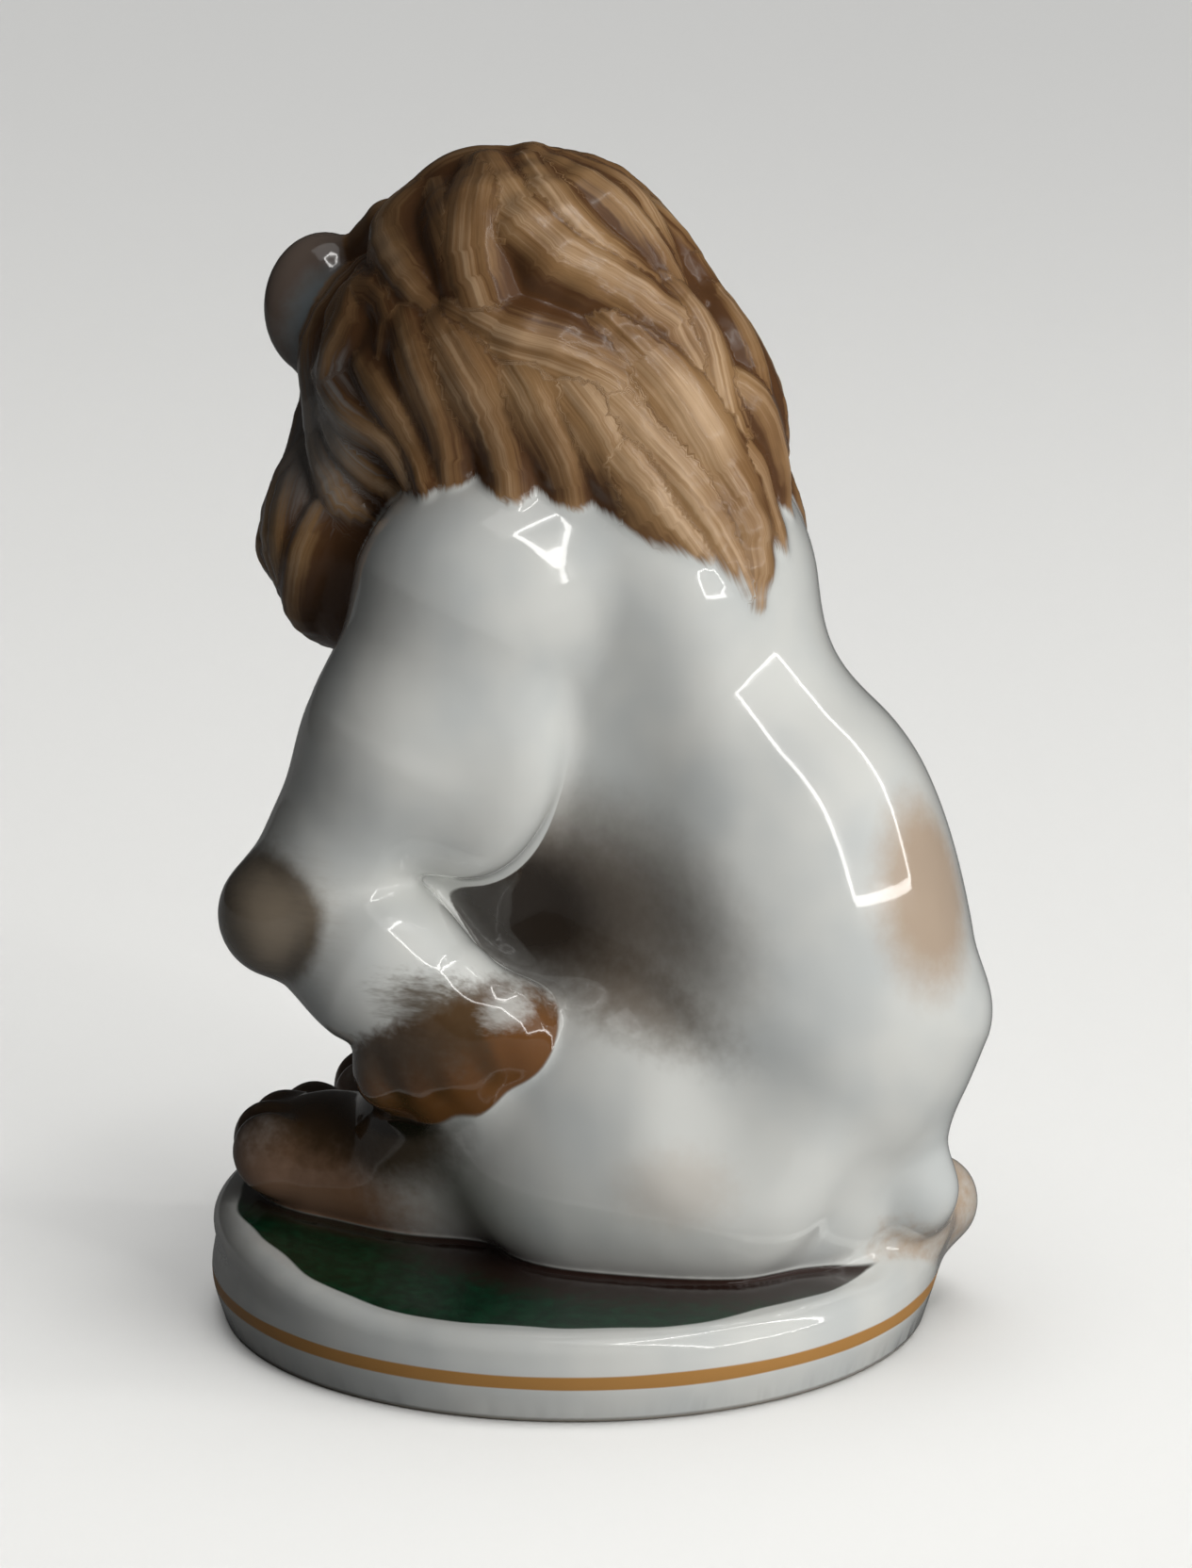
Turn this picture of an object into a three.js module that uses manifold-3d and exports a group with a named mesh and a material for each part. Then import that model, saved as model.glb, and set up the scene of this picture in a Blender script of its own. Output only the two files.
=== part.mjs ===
// A lion of glazed porcelain that sits upright on its haunches on a low round base.
// Millimetres, +Z up. The origin is the middle of the base's underside, the lion looks along -Y
// with its body and to its own right with its head, and its left side is +X.
import * as THREE from "three";
import { mergeVertices } from "three/addons/utils/BufferGeometryUtils.js";
import Module from "manifold-3d";

// Sizes of the base
const BASE_RADIUS = 50;
const FOOT_RADIUS = 48.2;
const WIDEST_AT = 5.8;
const RIM_HEIGHT = 11.6;
const FRONT_RISE = 4.2;
const GROUND_SWELL = 1.6;
const SHOULDER_ROUND = 2.4;
const BASE_SIDES = 72;

// How finely the lion is worked out and how many faces it keeps
const STEP = 1.5;
const LION_FACES = 8600;

// The head: its middle, how far it is turned to the right, bowed and tilted
const SKULL = new THREE.Vector3(-8, -13, 129);
const HEAD_TURN = -58;
const HEAD_BOW = 14;
const HEAD_TILT = 9;

// The upright line that the mane hangs around
const MANE_AXIS = [-1.5, -7];

const radians = THREE.MathUtils.degToRad;

// A turned set of axes: about X, then Y, then Z, in degrees.
function turned(aboutX, aboutY, aboutZ) {
  const euler = new THREE.Euler(radians(aboutX), radians(aboutY), radians(aboutZ), "ZYX");
  return new THREE.Matrix4().makeRotationFromEuler(euler);
}
const LEVEL = turned(0, 0, 0);

// An egg shape. Melt is how softly it flows into what is already there.
function egg(centre, radii, melt, axes = LEVEL) {
  const [cx, cy, cz] = centre;
  const [rx, ry, rz] = radii;
  const m = axes.elements;
  const reach = axes === LEVEL ? radii : Array(3).fill(Math.max(...radii));
  return {
    melt,
    low: centre.map((c, i) => c - reach[i]),
    high: centre.map((c, i) => c + reach[i]),
    at(x, y, z) {
      const dx = x - cx;
      const dy = y - cy;
      const dz = z - cz;
      const a = (dx * m[0] + dy * m[1] + dz * m[2]) / rx;
      const b = (dx * m[4] + dy * m[5] + dz * m[6]) / ry;
      const c = (dx * m[8] + dy * m[9] + dz * m[10]) / rz;
      const k = Math.hypot(a, b, c);
      const slope = Math.hypot(a / rx, b / ry, c / rz) + 1e-9;
      return (k * (k - 1)) / slope;
    },
  };
}

// The same shape, taken away instead of added.
function hollow(shape) {
  return { ...shape, hollow: true };
}

// A round limb from point to point, each point with its own radius.
function limb(points, radii, melt) {
  return points.slice(1).map((to, i) => {
    const from = points[i];
    const [ax, ay, az] = from;
    const [bx, by, bz] = to.map((v, k) => v - from[k]);
    const ra = radii[i];
    const rb = radii[i + 1];
    const long = Math.max(bx * bx + by * by + bz * bz, 1e-9);
    const r = Math.max(ra, rb);
    return {
      melt,
      low: from.map((v, k) => Math.min(v, to[k]) - r),
      high: from.map((v, k) => Math.max(v, to[k]) + r),
      at(x, y, z) {
        const px = x - ax;
        const py = y - ay;
        const pz = z - az;
        const t = Math.min(Math.max((px * bx + py * by + pz * bz) / long, 0), 1);
        return Math.hypot(px - t * bx, py - t * by, pz - t * bz) - ra - t * (rb - ra);
      },
    };
  });
}

// The same on the left and on the right.
const mirror = ([x, y, z]) => [-x, y, z];
function eggPair(centre, radii, melt, [aboutX, aboutZ] = [0, 0]) {
  return [
    egg(centre, radii, melt, turned(aboutX, 0, aboutZ)),
    egg(mirror(centre), radii, melt, turned(aboutX, 0, -aboutZ)),
  ];
}
function limbPair(points, radii, melt) {
  return [limb(points, radii, melt), limb(points.map(mirror), radii, melt)].flat();
}

function blend(a, b, melt) {
  const h = Math.max(melt - Math.abs(a - b), 0) / Math.max(melt, 1e-6);
  return Math.min(a, b) - (h * h * melt) / 4;
}

// How far a point is outside a list of shapes, melted together in order.
const FAR = 60;
function outside(shapes, x, y, z) {
  let d = FAR;
  for (const s of shapes) {
    const own = s.at(x, y, z);
    d = s.hollow ? -blend(-d, own, s.melt) : blend(d, own, s.melt);
  }
  return d;
}

function torso() {
  return [
    egg([0, 26, 46], [24, 30.5, 31], 0),
    egg([0, 19.5, 64.6], [24, 32.3, 30.3], 8),
    egg([0, 0, 58], [21, 23, 24], 8),
    egg([0, 5, 99], [26, 28.2, 27], 10),
    egg([0, -6, 114], [20, 19, 18], 8),
    ...eggPair([31, 13.5, 84], [7, 7, 18], 14).map(hollow),
    ...eggPair([30.5, 4, 63], [8.5, 21, 9], 14, [-26, 0]).map(hollow),
    ...eggPair([18.5, 9, 31], [13.5, 22, 20.5], 3),
    ...eggPair([14, 24, 27], [14, 18, 17], 6),
    ...eggPair([32, 36, 37], [7, 9, 9], 9).map(hollow),
    ...eggPair([13, -13, 20.5], [10, 14, 9], 5),
    egg([2, 33, 17], [12, 9.5, 9], 5),
    egg([3, 39, 22], [9, 7.5, 10.5], 5),
  ];
}

function arms() {
  const toes = [0, 1, 2, 3];
  return [
    ...eggPair([19, -5, 104], [12, 15, 13], 6),
    ...limbPair([[19, -8, 99], [24, -14.8, 83], [26, -26.3, 63.4]], [15, 12, 9.5], 6),
    ...eggPair([23.5, -7, 84], [9, 13.5, 19], 4),
    ...eggPair([13.5, -8, 73], [8.5, 13, 15], 4),
    ...limbPair([[26, -28, 59.4], [27, -17, 53.2], [28, -9, 49.4]], [9.5, 10.5, 9], 3),
    ...eggPair([28.5, -30.5, 59.3], [8.6, 8.5, 8.6], 1.2),
    ...eggPair([28, -6, 44.5], [8.6, 13.5, 8.4], 2.5, [20, 11]),
    ...toes.flatMap((i) => eggPair([30.2 - i, -15 + 6 * i, 39.6 + (i - 0.7) ** 2], [5.2, 4.4, 5.4], 1.6)),
  ];
}

function feet() {
  const toes = [-7.8, -2.7, 2.7, 7.8];
  const foot = (side, back) => [
    ...limb([[22 * side, -6, 40], [15 * side, -20 + back, 22]], [10, 9], 5),
    egg([14 * side, -29 + back, 21.5], [10.5, 13, 9], 4),
    ...toes.map((x) => egg([(14 + x) * side, -38 + back + 0.04 * x * x, 23.5], [3.4, 5.6, 5.8], 1.6)),
  ];
  return [...foot(1, 0), ...foot(-1, 3)];
}

function tail() {
  return [
    ...limb(
      [[-2, 49.5, 45.5], [0, 45.5, 33], [-1, 48, 21], [-7, 46.5, 14.5]],
      [8, 5.2, 5.2, 4.8],
      4,
    ),
    ...limb([[-7, 46.5, 14.5], [-16, 46, 14.5], [-27, 40.5, 14.5]], [4.6, 6.2, 2.2], 2),
    egg([-6, 43, 9], [17, 6.5, 6], 3),
  ];
}

// A place on the head: towards its left, forwards and upwards from the skull's middle.
const HEAD_AXES = turned(0, 0, HEAD_TURN)
  .multiply(turned(HEAD_BOW, 0, 0))
  .multiply(turned(0, -HEAD_TILT, 0));
function onHead(left, forward, up) {
  return new THREE.Vector3(left, -forward, up).applyMatrix4(HEAD_AXES).add(SKULL).toArray();
}
const headEgg = (place, radii, melt) => egg(onHead(...place), radii, melt, HEAD_AXES);
const headLimb = (places, radii, melt) => limb(places.map((p) => onHead(...p)), radii, melt);

function head() {
  const sides = [1, -1];
  return [
    headEgg([0, 0, 0], [18.5, 20, 18], 0),
    ...headLimb([[0, 8, -9], [0, 26, -12]], [10, 6.5], 6),
    ...headLimb([[0, 12, 6], [0, 33, 0.5]], [10, 6], 4),
    headEgg([0, 27, -6], [10, 10.5, 8], 3),
    ...sides.flatMap((s) => [
      headEgg([11.3 * s, 12.5, -3], [7, 8.5, 8], 6),
      headEgg([5.6 * s, 32, -6.8], [6.6, 7, 6], 2.5),
      ...headLimb([[3.6 * s, 20.5, 9.8], [11.5 * s, 15.5, 9]], [3.4, 3], 4),
      hollow(headEgg([9 * s, 23, 5], [4.4, 3.6, 2.8], 3)),
      headEgg([8.6 * s, 18.9, 4.9], [3.1, 2.9, 2.3], 0.8),
    ]),
    headEgg([0, 30, -14.2], [6, 6.4, 4.4], 1.5),
    headEgg([0, 37.6, -0.6], [5.2, 3.2, 3.4], 1.5),
    ...earOf([24.5, 3.5, 4.5], [8, 4.4, 9.8]),
    ...earOf([-22, 3.5, 7], [7, 4.4, 7.6]),
  ];
}

// An ear: a rounded leaf that is hollowed on its front.
function earOf([left, forward, up], [wide, thick, tall]) {
  return [
    headEgg([left, forward, up], [wide, thick, tall], 2.5),
    hollow(headEgg([left, forward + thick * 1.05, up], [wide * 0.68, thick * 0.95, tall * 0.7], 1.5)),
  ];
}

// The mane without its locks: the crown, the wide fall round the neck, the nape and the bib under the chin.
function maneMass() {
  return [
    egg([-2, -7.8, 133.5], [21, 22, 23.5], 0),
    egg([0, -5.6, 125], [22, 31.4, 19.5], 9),
    egg([-2, 5, 117], [22.5, 23, 16.5], 6),
    egg([3, -27.4, 104.5], [17, 13.2, 15], 7),
    egg([-15, -17, 104], [13, 14, 15], 6),
  ];
}

// Locks on the side that shows: each is a path of [turn about the mane's axis, height], then its width.
const NEAR_LOCKS = [
  [[[-91, 157], [-80, 155], [-76, 152], [-74, 147]], 9],
  [[[-77, 153], [-61, 148], [-31, 143], [-9, 138.5]], 11],
  [[[-82, 153.5], [-18, 149], [-5, 143.5], [-1, 139]], 10],
  [[[-50, 156], [-8, 151], [-2, 145], [7, 139], [14, 134.5]], 13],
  [[[-34, 156], [13, 151], [33, 145.5], [52, 141.5], [65, 137], [67, 130.5], [68, 125]], 13],
  [[[23, 156.5], [36, 152], [48, 147.5], [62, 144], [71, 141]], 10],
  [[[60, 158], [68, 153], [76, 148.5], [77, 143], [74, 137]], 10],
  [[[110, 156], [98, 152], [92, 148], [86, 142]], 9],
  [[[122, 155], [116, 149], [109, 144.5], [104, 139]], 9],
  [[[115, 151.5], [109, 145.5], [103, 138], [95, 132]], 9],
  [[[74, 142], [73, 135], [71, 127], [78, 120.5]], 10],
  [[[106, 140.5], [93, 135], [87, 130], [86, 124]], 9],
  [[[73, 130.5], [81, 126.5], [87, 119.5], [89, 112]], 9],
  [[[-2, 139], [16, 136], [35, 133], [46, 129.5], [51, 125], [52, 120]], 13],
  [[[47, 137], [55, 131.5], [62, 125], [69, 118], [72, 111], [70, 102]], 14],
  [[[33, 134.5], [46, 126.5], [56, 120.5], [63, 113], [68, 104]], 12],
  [[[68, 124], [76, 118.5], [79, 113.5], [80, 108]], 8],
  [[[-53, 131.5], [-59, 137], [-47, 140.5], [-32, 138.5], [-31, 132]], 8],
  [[[-23, 137], [-11, 130.5], [-5, 124], [-3, 117]], 11],
  [[[-8, 136.5], [5, 130.5], [13, 123.5], [17, 116]], 13],
  [[[15, 134], [24, 128.5], [30, 122.5], [34, 115.5]], 13],
  [[[29, 132], [38, 126.5], [44, 120.5], [48, 114]], 13],
  [[[40, 125], [47, 120], [54, 114.5], [60, 109]], 12],
  [[[-58, 129], [-41, 124.5], [-27, 122], [-16, 116]], 9],
  [[[-54, 124], [-45, 119.5], [-37, 116.5], [-27, 115]], 8],
  [[[-37, 131], [-24, 126.5], [-17, 122], [-9, 115.5]], 8],
  [[[-63, 123], [-54, 117.5], [-46, 113.5], [-39, 111]], 8],
  [[[-70, 117.5], [-59, 111], [-55, 105], [-57, 97]], 8],
  [[[-49, 111], [-49, 104.5], [-55, 98], [-66, 92]], 8],
  [[[-80, 124], [-72, 116], [-66, 108], [-66, 99]], 9],
];

// Rows of locks on the sides that don't show: between two turns, between two heights, how far each lock
// sweeps round as it falls, how many there are, and how wide they are.
const LOCK_ROWS = [
  { from: 118, to: 172, top: 157, foot: 137, sweep: -22, count: 5, width: 10 },
  { from: 246, to: 268, top: 156, foot: 139, sweep: -14, count: 2, width: 10 },
  { from: 122, to: 182, top: 143, foot: 121, sweep: -20, count: 5, width: 11 },
  { from: 128, to: 186, top: 128, foot: 106, sweep: -16, count: 5, width: 11 },
  { from: 255, to: 300, top: 142, foot: 120, sweep: 16, count: 4, width: 9 },
  { from: 186, to: 292, top: 118, foot: 98, sweep: 6, count: 8, width: 10 },
  { from: 196, to: 284, top: 108, foot: 90, sweep: -5, count: 6, width: 9 },
];

// Forelocks: each is places on the head, then its width.
const FORELOCKS = [
  [[[12, -3, 18.5], [16, 5, 15], [15.5, 11, 9.5]], 8],
  [[[-13, -3, 17.5], [-17, 4, 13], [-16, 10, 6.5]], 9],
  [[[7, -2, 21], [10, 7, 18.5], [8, 14.5, 13]], 9],
  [[[-8, -2, 20.5], [-11, 6, 17.5], [-13, 11.5, 12.5]], 9],
  [[[-3, -2, 21.5], [-4, 7, 20.5], [-7, 15, 14.5]], 9],
  [[[2, -2, 21.5], [4.5, 8, 20.5], [2, 16.5, 14]], 9],
  [[[-1, -1, 21], [-0.5, 8, 20.3], [-2.5, 15.5, 16]], 7],
];

// The ruff down each cheek, the same on both sides.
const RUFF = [
  [[[17, -2, 15], [19.5, 5, 9], [17, 11, 3], [15.5, 13, -4]], 9],
  [[[20, 1, 3], [20.5, 7, -4], [17, 11, -11], [13, 13, -18]], 10],
  [[[20, 2, -6], [18, 8, -14], [12, 13, -21], [8, 14, -27]], 10],
  [[[12, 8, -14], [8, 14, -19], [3.5, 18, -24]], 8],
];

const BODY = [torso(), arms(), feet(), tail()].flat();
const HEAD = head();
const MASS = maneMass();

// The place on the lion's outside at a turn about the mane's axis and a height, and the way out there.
function onCoat([turn, height]) {
  const way = [Math.cos(radians(turn)), Math.sin(radians(turn))];
  const far = 48;
  const at = (r) => [MANE_AXIS[0] + way[0] * r, MANE_AXIS[1] + way[1] * r, height];
  const clear = (p) => Math.min(outside(MASS, ...p), outside(BODY, ...p));
  let radius = far;
  let best = far;
  let least = Infinity;
  while (radius > 1) {
    const d = clear(at(radius));
    if (d < least) {
      least = d;
      best = radius;
    }
    if (d < 0.02) break;
    radius -= Math.max(d * 0.6, 0.1);
  }
  const spot = at(best);
  const e = 0.4;
  const slope = [0, 1, 2].map((axis) => {
    const up = spot.map((v, i) => (i === axis ? v + e : v));
    const down = spot.map((v, i) => (i === axis ? v - e : v));
    return clear(up) - clear(down);
  });
  const out = new THREE.Vector3(...slope).normalize();
  return new THREE.Vector3(...spot).addScaledVector(out, -Math.max(least, 0)).toArray().concat(out.toArray());
}

// A lock of hair: a rounded ridge that follows its path over the coat and thins to a raised tip.
const LOCK_ROUND = 0.5;
const LOCK_RISE = 0.24;
const LOCK_MELT = 1;
const LOCK_PIECES = 9;
function lock(path, width) {
  const stops = path.map(onCoat);
  const spots = new THREE.CatmullRomCurve3(stops.map((s) => new THREE.Vector3(s[0], s[1], s[2])));
  const ways = new THREE.CatmullRomCurve3(stops.map((s) => new THREE.Vector3(s[3], s[4], s[5])));
  const points = [];
  const radii = [];
  for (let i = 0; i <= LOCK_PIECES; i++) {
    const t = i / LOCK_PIECES;
    const swell = Math.min(1, 0.6 + 1.6 * t) * Math.sqrt(Math.max(1 - t ** 2.4, 0.04));
    const radius = LOCK_ROUND * width * swell;
    const rise = LOCK_RISE * width * (1.15 * swell - 0.15);
    points.push(spots.getPoint(t).addScaledVector(ways.getPoint(t).normalize(), rise - radius).toArray());
    radii.push(radius);
  }
  return limb(points, radii, LOCK_MELT);
}

// A lock on the head, on the side where it is given or on the other one.
const FACE_LOCK_PIECES = 7;
function faceLock([places, width], side = 1) {
  const curve = new THREE.CatmullRomCurve3(
    places.map(([left, forward, up]) => new THREE.Vector3(...onHead(left * side, forward, up))),
  );
  const points = curve.getPoints(FACE_LOCK_PIECES);
  const radii = points.map((_, i) => width * 0.45 * Math.sqrt(1.06 - (i / FACE_LOCK_PIECES) ** 2));
  return limb(points.map((p) => p.toArray()), radii, LOCK_MELT);
}

function lockRow({ from, to, top, foot, sweep, count, width }, row) {
  return [...Array(count).keys()].flatMap((i) => {
    const turn = from + ((to - from) * i) / (count - 1);
    const bob = i % 2 ? 2.5 : -2.5;
    const sway = (i + row) % 2 ? 5 : -4;
    const path = [0, 1, 2, 3].map((k) => [
      turn + (sweep * k) / 3 + sway * Math.sin((k * Math.PI) / 1.5),
      top + ((foot - top) * k) / 3 + (k ? bob : 0),
    ]);
    return lock(path, width);
  });
}

const MANE = [
  ...MASS,
  ...LOCK_ROWS.flatMap(lockRow),
  ...NEAR_LOCKS.flatMap(([path, width]) => lock(path, width)),
  ...FORELOCKS.flatMap((row) => faceLock(row)),
  ...RUFF.flatMap((row) => [...faceLock(row), ...faceLock(row, -1)]),
];

// How far the ground is above the base's rim: it swells to the middle and climbs to the front.
function ground(x, y) {
  const r = Math.hypot(x, y) / BASE_RADIUS;
  const front = THREE.MathUtils.smoothstep(-y, 5, 46);
  return FRONT_RISE * front + GROUND_SWELL * Math.max(1 - r * r, 0);
}

// The lion's field. Only the shapes that reach a box of space are worked out in it.
function near(shapes, low, high) {
  return shapes.filter((s) =>
    low.every((v, i) => s.low[i] - s.melt - 4 < high[i] && s.high[i] + s.melt + 4 > v),
  );
}
const GROUND_CUT = 4;
const GROUND_EDGE = 46.5;
const GROUND_COVER = 1;
const GROUND_MELT = 1.6;
function lionIn(low, high) {
  const body = near(BODY, low, high);
  const mane = near(MANE, low, high);
  const face = near(HEAD, low, high);
  return (x, y, z) => {
    const hide = blend(outside(body, x, y, z), outside(mane, x, y, z), 1.5);
    const earth = Math.max(z - RIM_HEIGHT - ground(x, y), Math.hypot(x, y) - GROUND_EDGE);
    const whole = blend(blend(hide, outside(face, x, y, z), 1.5), earth, GROUND_MELT);
    return Math.max(whole, GROUND_CUT - z);
  };
}

// Whether the corners of a cell that are in a mask hang together along its edges.
function hangTogether(mask) {
  let reached = mask & -mask;
  for (let round = 0; round < 4; round++)
    for (let c = 0; c < 8; c++)
      if (reached & (1 << c)) for (const bit of [1, 2, 4]) reached |= mask & (1 << (c ^ bit));
  return reached === mask;
}

// Fills the corners where two sheets of surface would share one cell, so that the surface never pinches.
function fillPinches(value, cells) {
  const whole = 255;
  let filled = false;
  for (const at of cells) {
    const inside = at.reduce((mask, spot, c) => (value[spot] < 0 ? mask | (1 << c) : mask), 0);
    if (hangTogether(inside) && hangTogether(whole & ~inside)) continue;
    const nearest = at.reduce((best, spot) =>
      value[spot] >= 0 && (value[best] < 0 || value[spot] < value[best]) ? spot : best,
    );
    value[nearest] = -1e-3;
    filled = true;
  }
  return filled;
}

// The closed surface where a field is nought, one point to each cell of the grid that it crosses.
const BLOCK = 10;
function skinOf(fieldIn, low, high, step) {
  const n = low.map((v, i) => Math.ceil((high[i] - v) / step) + 1);
  const index = (i, j, k) => (k * n[1] + j) * n[0] + i;
  const value = new Float32Array(n[0] * n[1] * n[2]).fill(FAR);
  const place = (cell) => cell.map((v, axis) => low[axis] + v * step);
  for (let k = 0; k < n[2]; k += BLOCK)
    for (let j = 0; j < n[1]; j += BLOCK)
      for (let i = 0; i < n[0]; i += BLOCK) {
        const last = [i, j, k].map((v, axis) => Math.min(v + BLOCK, n[axis]));
        const field = fieldIn(place([i, j, k]), place(last));
        for (let c = k; c < last[2]; c++)
          for (let b = j; b < last[1]; b++)
            for (let a = i; a < last[0]; a++) value[index(a, b, c)] = field(...place([a, b, c]));
      }
  const corners = [...Array(8).keys()].map((c) => [c & 1, (c >> 1) & 1, c >> 2]);
  const edges = [...Array(8).keys()].flatMap((a) =>
    [1, 2, 4].filter((bit) => !(a & bit)).map((bit) => [a, a | bit]),
  );
  const cells = [];
  for (let k = 0; k < n[2] - 1; k++)
    for (let j = 0; j < n[1] - 1; j++) for (let i = 0; i < n[0] - 1; i++) cells.push([i, j, k]);
  const cornersOf = ([i, j, k]) => corners.map(([a, b, c]) => index(i + a, j + b, k + c));
  const isCrossed = (cell) => {
    const inside = cornersOf(cell).filter((at) => value[at] < 0).length;
    return inside > 0 && inside < 8;
  };
  let crossed = cells.filter(isCrossed);
  while (fillPinches(value, crossed.map(cornersOf))) crossed = cells.filter(isCrossed);
  const point = new Int32Array(value.length).fill(-1);
  const places = [];
  for (const cell of crossed) {
    const at = cornersOf(cell);
    const v = at.map((spot) => value[spot]);
    const sum = [0, 0, 0];
    let count = 0;
    for (const [a, b] of edges) {
      if (v[a] < 0 === v[b] < 0) continue;
      const t = v[a] / (v[a] - v[b]);
      for (let axis = 0; axis < 3; axis++)
        sum[axis] += corners[a][axis] + t * (corners[b][axis] - corners[a][axis]);
      count++;
    }
    if (!count) continue;
    point[at[0]] = places.length;
    places.push(place(cell.map((v, axis) => v + sum[axis] / count)));
  }
  const faces = [];
  const unit = [[1, 0, 0], [0, 1, 0], [0, 0, 1]];
  for (let k = 1; k < n[2] - 1; k++)
    for (let j = 1; j < n[1] - 1; j++)
      for (let i = 1; i < n[0] - 1; i++) {
        const here = value[index(i, j, k)] < 0;
        for (let axis = 0; axis < 3; axis++) {
          const [a, b, c] = unit[axis];
          if (here === value[index(i + a, j + b, k + c)] < 0) continue;
          const u = unit[(axis + 1) % 3];
          const w = unit[(axis + 2) % 3];
          const quad = [[0, 0], [1, 0], [1, 1], [0, 1]].map(([p, q]) =>
            point[index(i - p * u[0] - q * w[0], j - p * u[1] - q * w[1], k - p * u[2] - q * w[2])],
          );
          if (!here) quad.reverse();
          faces.push([quad[0], quad[1], quad[2]], [quad[0], quad[2], quad[3]]);
        }
      }
  return { places, faces };
}

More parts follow.
